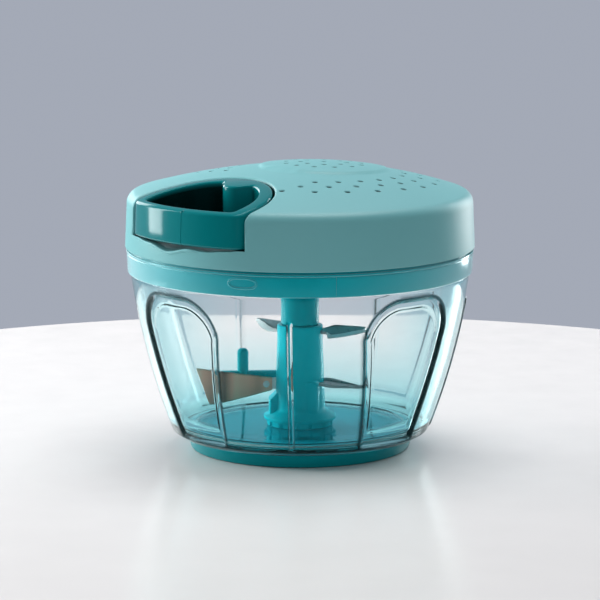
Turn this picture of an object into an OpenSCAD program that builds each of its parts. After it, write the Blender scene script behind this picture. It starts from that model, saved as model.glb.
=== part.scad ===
// Pull-string food chopper: a clear bowl, a blade set on a floor pivot and a lid with a cord-driven shaft.
// The origin is the middle of the foot's underside, +Z is up and the handle pulls out along -Y.
// An azimuth is counted in degrees from the handle's direction (-Y) toward +X.

/* [Bowl] */
// Outer radius of the bowl at its shoulder
bowl_top_r = 62.2; // [58:0.1:68]
// Outer radius of the bowl at its underside
bowl_bottom_r = 46.6; // [42:0.1:52]
// Height of the bowl from its underside to its shoulder
bowl_h = 60.2; // [50:0.1:75]
// How far the wall bulges out of a straight line
bowl_bulge = 1.9; // [0.8:0.1:4]
// Thickness of the bowl wall
bowl_wall = 2.4; // [1.8:0.1:3.2]
// Thickness of the bowl floor
bowl_floor = 2.7; // [2:0.1:4]
// Width of the chamfer round the underside
bowl_edge = 2; // [1:0.1:3]
// Radius of the corner between floor and wall
bowl_corner = 5; // [2:0.1:8]
// How far the neck stands in from the shoulder
neck_step = 1.9; // [1.5:0.1:3]
// Thickness of the neck wall
neck_wall = 2.2; // [1.6:0.1:3]
// Azimuth of the first arched panel
panel_az = -4; // [-20:1:20]
// Half the width of an arched panel at its top
panel_half_w = 18.5; // [15:0.1:21]
// Half the width of an arched panel at table height
panel_foot_half_w = 10.3; // [8:0.1:14]
// Distance of a panel's top below the shoulder
panel_drop = 3.6; // [3:0.1:12]
// Radius of a panel's two top corners
panel_corner = 13; // [4:0.1:14]
// Depth of a panel
panel_depth = 1; // [0.5:0.1:1.2]
// Width of an upright rib
rib_w = 1.8; // [1:0.1:3]
// How far a rib stands out of the wall
rib_h = 0.6; // [0.3:0.1:0.9]
// Distance of a rib's top below the shoulder
rib_drop = 9; // [3:0.1:15]

/* [Foot] */
// Radius of the foot on the table
foot_r = 40.2; // [36:0.1:42]
// Radius of the foot where it meets the bowl
foot_top_r = 42; // [38:0.1:44]
// Height of the foot
foot_h = 5.3; // [3:0.1:8]

/* [Collar] */
// Height of the band that shows between bowl and cover
band_h = 9; // [8:0.1:12]
// How far the band stands out of the bowl's shoulder
band_proud = 0.65; // [0.4:0.05:1.2]
// How much wider the band is at its top
band_draft = 0.35; // [0.1:0.05:0.6]
// Thickness of the plate that carries the drive
plate_t = 2.2; // [1.8:0.1:3]
// Thickness of the seal under the plate
gasket_t = 0.8; // [0.5:0.1:1.2]
// Width of a key on the neck, in degrees
key_deg = 8; // [5:1:14]
// How far a key stands out of the neck
key_h = 1; // [0.6:0.1:1.1]
// Height of a key
key_tall = 4; // [3:0.1:5]
// Azimuth of the oval mark on the band
mark_az = 26; // [15:1:40]
// Length of the oval mark
mark_len = 11; // [8:0.1:13]
// Height of the oval mark
mark_tall = 4.4; // [3:0.1:5.5]
// Width of the mark's raised line
mark_line = 0.6; // [0.4:0.1:0.9]
// How far the mark stands out of the band
mark_proud = 0.3; // [0.2:0.05:0.4]

/* [Cover] */
// How far the cover overhangs the band
cover_overhang = 0.8; // [0.3:0.1:1.2]
// How much narrower the cover's side is at its top
cover_draft = 0.7; // [0.2:0.1:1.5]
// Height of the cover's side up to the dome's edge
cover_side_h = 19.5; // [18:0.1:24]
// Rise of the dome over its edge
dome_rise = 9.4; // [7:0.1:14]
// Radius of the rounded shoulder
cover_round = 4.5; // [3.5:0.1:6]
// Thickness of the cover
cover_wall = 2.2; // [1.8:0.1:2.8]
// Distance of the palm pad's centre behind the axis
pad_back = 12.5; // [8:0.1:16]
// Radius of the palm pad
pad_r = 23.5; // [18:0.1:26]
// How far the palm pad is raised
pad_rise = 0.8; // [0.4:0.1:1.4]
// Distance of the dimple rows' centre behind the axis
dimple_back = 8; // [4:0.1:12]
// Radius of a dimple
dimple_r = 0.9; // [0.5:0.05:1]
// Depth of a dimple
dimple_deep = 1.1; // [0.6:0.1:1.3]
// Radius of the inmost row of dimples outside the pad
dimple_row_r = 32.7; // [30:0.1:34]
// Distance between dimple rows
dimple_row_gap = 6.1; // [4:0.1:6.5]
// Height of the handle notch's floor over the band
notch_floor_h = 7; // [5:0.1:9]
// Thickness of the notch's wall
notch_wall = 2; // [1.5:0.1:2.5]
// Thickness of the notch's floor
notch_floor_t = 3; // [2.6:0.1:4]
// Depth of the finger scoop in the notch's front edge
scoop_deep = 2; // [1:0.1:3]
// Half the width of the finger scoop
scoop_half_w = 13; // [8:0.1:18]

/* [Handle] */
// Distance from the lid's front to the back of the handle
handle_reach = 38.5; // [34:0.1:41]
// Radius of the handle's round back
handle_r = 27.5; // [25:0.1:31]
// Width of the handle's rim
handle_rim = 5; // [4:0.1:8]
// Thickness of the handle's front wall
grip_t = 3.2; // [2.6:0.1:8]
// Radius of the handle's upper front edge
handle_edge = 1.6; // [1:0.1:3]
// Radius of the cord boss at the handle's back
boss_r = 6.5; // [5:0.1:8]
// Radius of the cord knot
knot_r = 2.4; // [2:0.1:3]

/* [Cord drive] */
// Radius of the spool's drum
drum_r = 14.5; // [13:0.1:15.5]
// Height of the room for the cord on the drum
cord_room = 7; // [5:0.1:8]
// Radius of the pull cord
cord_r = 0.9; // [0.7:0.1:1.2]
// Layers of cord on the drum
cord_layers = 1; // [1:1:2]
// Thickness of the spool's web
web_t = 2; // [1.5:0.1:3]
// Thickness of the spool's upper flange
flange_t = 1.5; // [1:0.1:2]
// Thickness of the drum's wall
drum_wall = 1.7; // [1.2:0.1:2.2]
// Thickness of the ratchet ring's wall
ratchet_wall = 2.4; // [1.6:0.1:3]
// Height of a ratchet tooth
tooth_h = 1.9; // [1.2:0.1:2.2]
// Radius of the fixed axle
axle_r = 3.2; // [2.5:0.1:3.8]
// Turns of the recoil spring
spring_turns = 5; // [3:1:6]
// Thickness of the spring strip
spring_t = 0.4; // [0.3:0.05:0.5]
// Thickness of the disc over the spring
spring_cover_t = 1.2; // [0.8:0.1:1.6]
// Thickness of a pawl
pawl_t = 3.4; // [2.5:0.1:4]
// Radius of a pawl's pivot pin
pawl_pin_r = 1.2; // [0.9:0.1:1.5]
// Thickness of the clutch disc that carries the pawls
clutch_t = 2; // [1.5:0.1:3]
// Radius of the drive shaft
shaft_r = 7; // [6.5:0.05:8]
// Radius of the six-sided drive end, over its corners
drive_r = 6; // [5:0.1:6.5]
// Length of the six-sided drive end
drive_len = 14; // [8:0.1:15]
// Wall of the shaft's bush
bush_wall = 2.3; // [1.5:0.1:3]
// Thickness of the bush's flange
bush_flange_t = 1.5; // [1:0.1:2]
// How far the bush reaches below the plate
bush_drop = 4.8; // [3:0.1:5]
// Thickness of the shaft's retaining ring
clip_t = 1; // [0.8:0.1:1.4]
// Radius of a lid screw's shank
screw_r = 1.5; // [1.2:0.1:1.8]
// Distance of the lid screws from the axis
screw_ring_r = 50; // [44:0.1:53]

/* [Blades] */
// Radius of the hub's sleeve
hub_r = 8.4; // [8:0.1:10]
// Height of the hub over the bowl floor
hub_h = 37.3; // [33:0.1:40]
// Radius of the hub's flange
hub_flange_r = 13.4; // [12:0.1:16]
// Radius of the collar under the flange
hub_foot_r = 12.3; // [10:0.1:12.4]
// Radius of the pivot pin
pin_r = 3; // [2:0.1:3.5]
// Height of the pivot pin over the bowl floor
pin_h = 18; // [12:0.1:19]
// Thickness of the knife steel
blade_t = 1; // [0.8:0.1:1.5]
// Reach of the upper blade's two wings
upper_reach = 24.5; // [20:0.1:34]
// Width of an upper wing
upper_w = 11; // [8:0.1:14]
// Height of the upper blade over the floor
upper_z = 34.4; // [32.5:0.1:36]
// Azimuth of the upper blade's first wing
upper_az = 113; // [100:1:120]
// Angle from the upper blade's first wing to its second
upper_turn = 164; // [160:1:180]
// Reach of the lower blade
lower_reach = 23.5; // [20:0.1:34]
// Width of the lower blade
lower_w = 11; // [8:0.1:14]
// Height of the lower blade over the floor
lower_z = 15.6; // [12:0.1:16.5]
// Azimuth of the lower blade
lower_az = 128; // [115:1:145]
// Azimuth of the post under the lower blade
post_az = 77; // [65:1:95]
// Radius of the post under the lower blade
post_r = 3.8; // [3:0.1:4.5]
// Azimuth of the paddle
paddle_az = -41; // [-55:1:-25]
// Reach of the paddle
paddle_reach = 38.5; // [32:0.1:41]
// Height of the paddle at its outer end
paddle_tall = 13.6; // [9:0.1:15]
// Height of the paddle at its root
paddle_root_tall = 4.8; // [4.4:0.1:7]
// Height of the paddle root's middle over the floor
paddle_z = 15.4; // [12:0.1:16]
// Thickness of the arm behind the paddle
arm_t = 3; // [2:0.1:4]
// Length of the arm from the axis
arm_len = 30; // [25:0.1:34]
// Radius of the peg on the arm
peg_r = 2.1; // [1.5:0.1:2.5]
// Height of the peg over the arm
peg_h = 8.5; // [5:0.1:10]

/* [Clearances] */
// Radial gap between neck and collar, and round the keys
slip_gap = 0.35; // [0.3:0.05:0.5]
// Gap round the handle in its notch
notch_gap = 0.8; // [0.6:0.05:1.2]
// Gap under a piece that rests lightly on another
seat_gap = 0.3; // [0.2:0.05:0.4]
// Radial gap of a shaft or pin in its bearing
run_gap = 0.05; // [0.02:0.01:0.1]
// Gap between neighbours that turn past each other
spin_gap = 0.6; // [0.4:0.05:1]

/* [Hidden] */
$fn = 96;
fine = 720;
small = 32;
over = 1;

// Bowl levels and the arc of its wall
bowl_z = foot_h;
floor_z = bowl_z + bowl_floor;
shoulder_z = bowl_z + bowl_h;
neck_r = bowl_top_r - neck_step;
wall_lean = atan2(bowl_top_r - bowl_bottom_r, bowl_h);
wall_chord = norm([bowl_top_r - bowl_bottom_r, bowl_h]);
wall_arc_r = (pow(wall_chord / 2, 2) + pow(bowl_bulge, 2)) / (2 * bowl_bulge);
wall_mid = [(bowl_top_r + bowl_bottom_r) / 2, bowl_z + bowl_h / 2];
wall_centre = wall_mid - (wall_arc_r - bowl_bulge) * [cos(wall_lean), -sin(wall_lean)];
edge_slope = 0.65;
panel_count = 4;
// how far a panel's straight side ends inside its corner circle
side_lap = 0.15;

// Lid levels, radii and the dome
cover_z = shoulder_z + band_h;
plate_z = cover_z - plate_t;
neck_top_z = plate_z - gasket_t - run_gap;
collar_in_r = neck_r + slip_gap;
band_r = bowl_top_r + band_proud;
band_top_r = band_r + band_draft;
cover_r = band_top_r + cover_overhang;
cover_top_r = cover_r - cover_draft;
dome_r = (pow(cover_top_r, 2) + pow(dome_rise, 2)) / (2 * dome_rise);
dome_centre_z = cover_z + cover_side_h + dome_rise - dome_r;
key_count = 3;
key_az = 54;
screw_azimuths = [75, 140, 220, 285];
screw_boss_wall = 2.3;
screw_deep = 12;
screw_head_r = 2.9;
screw_head_t = 1.3;

// Rows of dimples on the dome and on the pad
dimple_first_az = 44;
dimple_last_az = 314;
dimple_step = 15;
dimple_rows = 3;
dimple_swirl = 7.5;
pad_rings = [[0, 1], [8.5, 8], [14.2, 12]];

// Handle and notch
notch_floor_z = cover_z + notch_floor_h;
handle_z = notch_floor_z + seat_gap;
handle_back = cover_r - handle_reach;
handle_y = -handle_back - handle_r;
boss_y = -handle_back - boss_r + 1.5;
notch_r = handle_r + notch_gap;
notch_back = handle_back - notch_gap;
scoop_run = 8;
scoop_tilt = asin(scoop_deep / scoop_run);
scoop_r = (pow(scoop_half_w, 2) + pow(scoop_deep, 2)) / (2 * scoop_deep);
seam_w = 0.4;
seam_deep = 0.3;

// Stack of the cord drive, from the collar plate upward
bush_top_z = cover_z + bush_flange_t;
clutch_z = bush_top_z + run_gap;
pawl_z = clutch_z + clutch_t + seat_gap;
web_z = pawl_z + pawl_t + seat_gap;
drum_z = web_z + web_t;
drum_top_z = drum_z + cord_room;
spool_top_z = drum_top_z + flange_t;
axle_boss_z = spool_top_z + spring_cover_t + spin_gap;
axle_boss_r = axle_r + 3;
cord_z = drum_z + cord_room / 2;
spool_r = notch_back - notch_wall - 2 * spin_gap;
spring_room_r = drum_r - drum_wall;
ratchet_root_r = spool_r - ratchet_wall;
ratchet_tip_r = ratchet_root_r - tooth_h;
tooth_count = 12;
clutch_r = ratchet_tip_r - spin_gap;
pilot_deep = 5;

// Pawls: the tip stands ahead of a tooth's steep face, the pivot further round and further in
pawl_tip_r = 0.6;
pawl_tip_in = 0.55;
pawl_tip_at = (ratchet_tip_r + ratchet_root_r) / 2 - pawl_tip_in;
pawl_tip_turn = 5;
pawl_pivot_at = ratchet_tip_r - 5.2;
pawl_pivot_turn = 56;
pawl_eye_r = pawl_pin_r + 1.3;

// Cord route from the drum through the eyelet to the knot
winding_r = drum_r + run_gap + 2 * cord_r * cord_layers;
winding_margin = 0.5;
lead_from_r = winding_r + cord_r + seat_gap;
eyelet_r = cord_r + 1.6;
eyelet_lip = 0.8;
eyelet_bore_r = cord_r + 0.6;
bend_y = -(notch_back - notch_wall - eyelet_lip - cord_r);
lead_turn = acos(lead_from_r / -bend_y);
lead_start = lead_from_r * [-sin(lead_turn), -cos(lead_turn)];
knot_room_r = knot_r + 0.8;
knot_y = boss_y + knot_room_r - knot_r - seat_gap;

// Drive shaft, hub and pivot
hub_z = floor_z + seat_gap;
hub_top_z = floor_z + hub_h;
shaft_z = hub_top_z + seat_gap;
drive_gap = 0.35;
hub_foot_t = 2;
hub_flange_t = 1.2;
hub_cone_t = 4;
pin_sunk = bowl_floor / 2;
bush_z = plate_z - bush_drop;
bush_r = shaft_r + run_gap + bush_wall;
bush_flange_r = bush_r + 2.4;
bush_low_r = shaft_r + run_gap + bush_wall / 2;
clip_wall = 1.4;
eye_bite = 0.6;
post_sunk = 2.2;
post_over = 0.8;

// Paddle, tab, arm and rivet, along the paddle's own direction
paddle_root = hub_r + 2;
paddle_front = blade_t / 2 + run_gap;
paddle_low = floor_z + paddle_z - paddle_root_tall / 2;
paddle_high = paddle_low + paddle_root_tall;
paddle_end_low = paddle_low - 5;
paddle_heel = 5;
tab_in = 2.5;
tab_len = 6;
rivet_at = paddle_root + 2.4;
rivet_r = 0.9;
rivet_head_r = 1.5;
rivet_head_t = 0.5;
arm_top_z = paddle_high + 2;
arm_tall = 5;
peg_at = 21;
gusset_len = 3;
gusset_w = 7;

function wall_r(z) = wall_centre.x + sqrt(pow(wall_arc_r, 2) - pow(z - wall_centre.y, 2));
function dome_z(x, y) = dome_centre_z + sqrt(pow(dome_r, 2) - x * x - y * y);
function toward(az, r) = r * [sin(az), -cos(az)];
function polar(r, a) = r * [cos(a), sin(a)];

// Turns +X to an azimuth
module at_azimuth(az) {
    rotate([0, 0, az - 90]) children();
}

// Ring between two radii, standing at a height
module ring(r_in, r_out, z, h) {
    translate([0, 0, z]) difference() {
        cylinder(r = r_out, h = h);
        translate([0, 0, -over]) cylinder(r = r_in, h = h + 2 * over);
    }
}

// Half section of everything inside the bowl wall's arc, moved in by an inset
module wall_section(inset, z_from, z_to) {
    intersection() {
        translate(wall_centre) circle(r = wall_arc_r - inset, $fn = fine);
        translate([0, z_from]) square([2 * bowl_top_r, z_to - z_from]);
    }
}

// Half section of the room inside the bowl
module bowl_room_section() {
    corner_z = floor_z + bowl_corner;
    corner_x = wall_r(corner_z) - bowl_wall - bowl_corner;
    difference() {
        wall_section(bowl_wall, floor_z, shoulder_z - bowl_wall);
        difference() {
            translate([corner_x, floor_z - over]) square([3 * bowl_corner, bowl_corner + over]);
            translate([corner_x, corner_z]) circle(r = bowl_corner);
        }
    }
}

// Outline of an arched panel, seen from outside, with sides that run into its rounded corners
module panel_outline() {
    top = shoulder_z - panel_drop;
    corner_x = panel_half_w - panel_corner;
    corner_z = top - panel_corner;
    run = [corner_x - panel_foot_half_w, corner_z];
    side_r = panel_corner - side_lap;
    lean = atan2(run.y, run.x) - asin(side_r / norm(run));
    side_len = sqrt(run * run - side_r * side_r);
    meet = [panel_foot_half_w + side_len * cos(lean), side_len * sin(lean)];
    polygon([
        [-panel_foot_half_w, 0],
        [panel_foot_half_w, 0],
        meet,
        [corner_x, top],
        [-corner_x, top],
        [-meet.x, meet.y],
    ]);
    for (side = [-1, 1])
        translate([side * corner_x, corner_z]) circle(r = panel_corner);
}

module panel_cuts() {
    for (i = [0 : panel_count - 1])
        rotate([0, 0, panel_az + i * 360 / panel_count]) difference() {
            rotate([90, 0, 0]) linear_extrude(2 * bowl_top_r) panel_outline();
            rotate_extrude() wall_section(panel_depth, 0, shoulder_z);
        }
}

module ribs() {
    turn = 2 * asin(rib_w / 2 / bowl_top_r);
    for (i = [0 : panel_count - 1])
        at_azimuth(panel_az + (i + 0.5) * 360 / panel_count - turn / 2)
            rotate_extrude(angle = turn) difference() {
                wall_section(-rib_h, bowl_z + bowl_edge, shoulder_z - rib_drop);
                wall_section(bowl_wall / 2, 0, shoulder_z);
            }
}

// Keys on the neck, or their slots when grown by a gap
module keys(grow) {
    turn = key_deg + 2 * asin(grow / neck_r);
    for (i = [0 : key_count - 1])
        at_azimuth(key_az + i * 360 / key_count - turn / 2)
            rotate_extrude(angle = turn)
                translate([neck_r - neck_wall / 2, shoulder_z - grow])
                    square([neck_wall / 2 + key_h + grow, key_tall + 2 * grow]);
}

module bowl() {
    neck_in_r = neck_r - neck_wall;
    edge_run = 3 * bowl_edge;
    color([0.7, 0.9, 0.92, 0.45]) difference() {
        union() {
            difference() {
                rotate_extrude() difference() {
                    wall_section(0, bowl_z, shoulder_z);
                    translate([bowl_bottom_r - bowl_edge, bowl_z])
                        polygon([[0, 0], [edge_run, 0], [edge_run, edge_run * edge_slope]]);
                }
                panel_cuts();
            }
            ribs();
            keys(0);
            translate([0, 0, shoulder_z - over]) cylinder(r = neck_r, h = neck_top_z - shoulder_z + over);
        }
        rotate_extrude() bowl_room_section();
        translate([0, 0, shoulder_z - 2 * bowl_wall])
            cylinder(r = neck_in_r, h = neck_top_z - shoulder_z + 2 * bowl_wall + over);
        translate([0, 0, floor_z - pin_sunk]) cylinder(r = pin_r, h = pin_sunk + over);
    }
}

module base_pad() {
    color([0.1, 0.5, 0.52]) cylinder(r1 = foot_r, r2 = foot_top_r, h = foot_h);
}

module pivot_pin() {
    color("silver") translate([0, 0, floor_z - pin_sunk]) cylinder(r = pin_r, h = pin_sunk + pin_h);
}

// Plan of one knife wing along +X, straight at its back and curved at its edge
module wing(reach, width) {
    root = 2;
    half = reach - root;
    arc_r = (half * half + width * width) / (2 * width);
    intersection() {
        translate([root, width / 2 - arc_r]) circle(r = arc_r, $fn = fine);
        translate([0, -width / 2]) square([reach, width]);
    }
}

// Knife of one or two wings on an eye, the ring inside the hub that holds them
module knife(wings, turn, reach, width, eye_in_r, eye_r) {
    linear_extrude(blade_t) {
        difference() {
            circle(r = eye_r);
            circle(r = eye_in_r);
        }
        difference() {
            for (i = [0 : wings - 1])
                rotate([0, 0, i * turn]) wing(reach, width);
            circle(r = eye_r - eye_bite);
        }
    }
}

module upper_knife() {
    translate([0, 0, floor_z + upper_z]) at_azimuth(upper_az)
        knife(2, upper_turn, upper_reach, upper_w, drive_r + drive_gap + seat_gap, hub_r - eye_bite);
}

// Its eye stays inside the paddle's tab
module lower_knife() {
    translate([0, 0, floor_z + lower_z]) at_azimuth(lower_az)
        knife(1, 0, lower_reach, lower_w, pin_r + 1, hub_r - tab_in - seat_gap);
}

// Extrudes an outline of reach and height into an upright plate along the paddle's direction
module upright(y_from, y_to) {
    at_azimuth(paddle_az) translate([0, y_to, 0]) rotate([90, 0, 0]) linear_extrude(y_to - y_from) children();
}

module tab_plate() {
    upright(-blade_t / 2, blade_t / 2)
        translate([hub_r - tab_in, paddle_low + 0.3])
            square([tab_in + tab_len, paddle_root_tall - 0.6]);
}

module rivet_hole() {
    upright(-2 * arm_t, 2 * arm_t)
        translate([rivet_at, floor_z + paddle_z]) circle(r = rivet_r, $fn = small);
}

module blade_hub() {
    flange_z = hub_z + hub_foot_t;
    gusset_top_z = paddle_low - seat_gap;
    color([0.05, 0.52, 0.55]) difference() {
        union() {
            translate([0, 0, hub_z]) cylinder(r = hub_r, h = hub_top_z - hub_z);
            translate([0, 0, hub_z]) cylinder(r = hub_foot_r, h = hub_foot_t);
            translate([0, 0, flange_z]) cylinder(r = hub_flange_r, h = hub_flange_t);
            translate([0, 0, flange_z + hub_flange_t])
                cylinder(r1 = hub_flange_r, r2 = hub_r, h = hub_cone_t);
            upright(-gusset_w / 2, gusset_w / 2) polygon([
                [0, flange_z],
                [hub_r + gusset_len, flange_z],
                [hub_r + gusset_len, gusset_top_z - gusset_len],
                [hub_r, gusset_top_z],
                [0, gusset_top_z]
            ]);
            at_azimuth(post_az) translate([hub_r - post_sunk, 0, flange_z])
                cylinder(r = post_r, h = floor_z + lower_z + blade_t + post_over - flange_z);
        }
        translate([0, 0, hub_z - over])
            cylinder(r = pin_r + run_gap, h = floor_z + pin_h + seat_gap - hub_z + over);
        translate([0, 0, shaft_z - drive_len - seat_gap])
            cylinder(r = drive_r + drive_gap, h = drive_len + over, $fn = 6);
        upper_knife();
        lower_knife();
        tab_plate();
    }
}

module upper_blade() {
    color("silver") upper_knife();
}

module lower_blade() {
    color("silver") lower_knife();
}

module paddle_blade() {
    color([0.68, 0.6, 0.55]) difference() {
        upright(paddle_front, paddle_front + blade_t)
            polygon([
                [paddle_root, paddle_low],
                [paddle_reach - 2 * paddle_heel, paddle_end_low + 0.4],
                [paddle_reach - paddle_heel, paddle_end_low],
                [paddle_reach, paddle_end_low + paddle_tall],
                [paddle_root, paddle_high]
            ]);
        rivet_hole();
    }
}

module paddle_tab() {
    color("lightgray") difference() {
        tab_plate();
        rivet_hole();
    }
}

module paddle_arm() {
    back = -blade_t / 2 - run_gap;
    color([0.05, 0.52, 0.55]) difference() {
        union() {
            upright(back - arm_t, back)
                translate([0, arm_top_z - arm_tall]) square([arm_len, arm_tall]);
            at_azimuth(paddle_az) translate([peg_at, back - arm_t / 2, arm_top_z - over]) {
                cylinder(r = peg_r, h = peg_h - peg_r + over);
                translate([0, 0, peg_h - peg_r + over]) sphere(r = peg_r);
            }
        }
        translate([0, 0, floor_z]) cylinder(r = hub_r, h = hub_h);
        rivet_hole();
    }
}

module paddle_rivet() {
    front = paddle_front + blade_t;
    back = -blade_t / 2 - run_gap - arm_t;
    color("silver") at_azimuth(paddle_az) translate([rivet_at, front, floor_z + paddle_z]) rotate([90, 0, 0]) {
        cylinder(r = rivet_r, h = front - back, $fn = small);
        translate([0, 0, -rivet_head_t]) cylinder(r = rivet_head_r, h = rivet_head_t, $fn = small);
        translate([0, 0, front - back]) cylinder(r = rivet_head_r, h = rivet_head_t, $fn = small);
    }
}

// Half section of the lid: side, rounded shoulder and dome, moved in by an inset
module lid_section(inset, round_r, z_from) {
    c = [cover_top_r - round_r,
         dome_centre_z + sqrt(pow(dome_r - round_r, 2) - pow(cover_top_r - round_r, 2))];
    meet_x = c.x * (dome_r - inset) / (dome_r - round_r);
    polygon([[0, z_from], [cover_r - inset, z_from], [cover_top_r - inset, c.y], [0, c.y]]);
    translate(c) circle(r = round_r - inset);
    intersection() {
        translate([0, dome_centre_z]) circle(r = dome_r - inset, $fn = fine);
        translate([0, z_from]) square([meet_x, cover_side_h + 2 * dome_rise]);
    }
}

// Plan of the handle or its notch: round at the back, straight toward the front
module loop_plan(r) {
    translate([0, handle_y]) circle(r = r, $fn = fine);
    translate([-r, handle_y - 2 * r]) square([2 * r, 2 * r]);
}

module dimples() {
    for (az = [dimple_first_az : dimple_step : dimple_last_az])
        for (row = [0 : dimple_rows - 1])
            dimple(toward(az - row * dimple_swirl, dimple_row_r + row * dimple_row_gap) + [0, dimple_back], 0);
    for (ring = pad_rings)
        for (i = [1 : ring[1]])
            dimple(toward(i * 360 / ring[1], ring[0]) + [0, pad_back], pad_rise);
}

module dimple(at, rise) {
    translate([at.x, at.y, dome_z(at.x, at.y) + rise - dimple_deep])
        cylinder(r = dimple_r, h = 4 * dimple_deep, $fn = small);
}

module screw_posts(r, z, h) {
    for (az = screw_azimuths)
        translate([toward(az, screw_ring_r).x, toward(az, screw_ring_r).y, z]) cylinder(r = r, h = h, $fn = small);
}

// Round hole along Y at the cord's height
module cord_hole(r, y_from, y_to) {
    translate([0, y_to, cord_z]) rotate([90, 0, 0]) cylinder(r = r, h = y_to - y_from, $fn = small);
}

// Shallow hollow that slopes down to the front edge of the notch's floor
module finger_scoop() {
    translate([0, -cover_r, notch_floor_z]) rotate([90 + scoop_tilt, 0, 0]) translate([0, 0, -scoop_run])
        linear_extrude(scoop_run + over) intersection() {
            translate([0, scoop_r - scoop_deep]) circle(r = scoop_r, $fn = fine);
            translate([-scoop_half_w, -scoop_deep]) square([2 * scoop_half_w, scoop_deep + over]);
        }
}

module lid_cover() {
    tall = cover_side_h + 2 * dome_rise;
    color([0.56, 0.77, 0.76]) difference() {
        union() {
            rotate_extrude() lid_section(0, cover_round, cover_z);
            intersection() {
                translate([0, pad_back, cover_z + cover_side_h]) cylinder(r = pad_r, h = tall, $fn = fine);
                translate([0, 0, pad_rise]) rotate_extrude() lid_section(0, cover_round, cover_z);
            }
        }
        difference() {
            rotate_extrude() lid_section(cover_wall, cover_round, cover_z - over);
            translate([0, 0, notch_floor_z - notch_floor_t])
                linear_extrude(tall) loop_plan(notch_r + notch_wall);
            screw_posts(screw_r + screw_boss_wall, cover_z, tall);
            translate([0, 0, axle_boss_z]) cylinder(r = axle_boss_r, h = tall);
        }
        translate([0, 0, notch_floor_z]) linear_extrude(tall) loop_plan(notch_r);
        finger_scoop();
        cord_hole(eyelet_r, -notch_back - over, -notch_back + notch_wall + over);
        screw_posts(screw_r, cover_z - over, screw_deep + over);
        translate([0, 0, axle_boss_z - over]) cylinder(r = axle_r, h = spring_cover_t + 2 * over);
        dimples();
    }
}

// Outline of the oval mark, inset from its outer line
module mark_outline(inset) {
    tall = mark_tall - 2 * inset;
    flat_len = mark_len - mark_tall;
    translate([-flat_len / 2, -tall / 2]) square([flat_len, tall]);
    for (side = [-1, 1])
        translate([side * flat_len / 2, 0]) circle(d = tall, $fn = small);
}

module band_section(grow) {
    polygon([
        [collar_in_r, shoulder_z],
        [band_r + grow, shoulder_z],
        [band_top_r + grow, cover_z],
        [collar_in_r, cover_z]
    ]);
}

module band_mark() {
    intersection() {
        rotate_extrude() band_section(mark_proud);
        rotate([0, 0, mark_az]) translate([0, -collar_in_r - over, shoulder_z + band_h * 0.52]) rotate([90, 0, 0])
            linear_extrude(2 * cover_overhang + 2 * neck_step) difference() {
                mark_outline(0);
                mark_outline(mark_line);
            }
    }
}

module lid_collar() {
    color([0.15, 0.6, 0.63, 0.8]) difference() {
        union() {
            rotate_extrude() band_section(0);
            translate([0, 0, plate_z]) cylinder(r = collar_in_r + over, h = plate_t);
            band_mark();
        }
        translate([0, 0, plate_z - over]) cylinder(r = bush_r, h = plate_t + 2 * over);
        screw_posts(screw_r, plate_z - over, plate_t + 2 * over);
        keys(slip_gap);
    }
}

module lid_gasket() {
    color([0.85, 0.9, 0.9]) ring(neck_r - neck_wall, neck_r, plate_z - gasket_t, gasket_t);
}

module lid_screws() {
    color("gray") {
        screw_posts(screw_r, plate_z, plate_t + screw_deep);
        screw_posts(screw_head_r, plate_z - screw_head_t, screw_head_t);
    }
}

module shaft_bush() {
    color("white") rotate_extrude() polygon([
        [shaft_r + run_gap, bush_z],
        [bush_low_r, bush_z],
        [bush_r, plate_z],
        [bush_r, cover_z],
        [bush_flange_r, cover_z],
        [bush_flange_r, bush_top_z],
        [shaft_r + run_gap, bush_top_z]
    ]);
}

module spool_axle() {
    low_z = clutch_z + clutch_t - pilot_deep + seat_gap;
    color("silver") translate([0, 0, low_z])
        cylinder(r = axle_r, h = axle_boss_z + spring_cover_t + over - low_z);
}

// Flat spiral from the axle out to the drum's inside
module recoil_spring() {
    r_from = axle_r + run_gap;
    r_to = spring_room_r - spin_gap - spring_t;
    steps = 24 * spring_turns;
    function spiral(i, out) = polar(r_from + (r_to - r_from) * i / steps + out, i * 360 / 24);
    color("dimgray") translate([0, 0, drum_z + seat_gap]) linear_extrude(cord_room)
        polygon(concat(
            [for (i = [0 : steps]) spiral(i, 0)],
            [for (i = [steps : -1 : 0]) spiral(i, spring_t)]
        ));
}

module cord_eyelet() {
    out_y = -notch_back;
    in_y = -notch_back + notch_wall;
    color("silver") difference() {
        union() {
            cord_hole(eyelet_r, out_y, in_y);
            cord_hole(eyelet_r + eyelet_lip, in_y, in_y + eyelet_lip);
        }
        cord_hole(eyelet_bore_r, out_y - over, in_y + eyelet_lip + over);
    }
}

// Straight stretch of cord between two plan points at the cord's height
module cord_run(from, to) {
    run = to - from;
    translate([from.x, from.y, cord_z]) rotate([0, 90, atan2(run.y, run.x)])
        cylinder(r = cord_r, h = norm(run), $fn = small);
}

module cord_lead() {
    bend = [0, bend_y];
    color("white") {
        cord_run(lead_start, bend);
        translate([bend.x, bend.y, cord_z]) sphere(r = cord_r + run_gap, $fn = small);
        cord_run(bend, [0, knot_y + knot_r + run_gap]);
    }
}

// Room inside the ratchet ring: each tooth falls from a root to a tip, then steps out again
module ratchet_room() {
    step = 360 / tooth_count;
    polygon([for (i = [0 : tooth_count - 1]) each [
        polar(ratchet_root_r, i * step),
        polar(ratchet_tip_r, (i + 1) * step)
    ]]);
}

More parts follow.
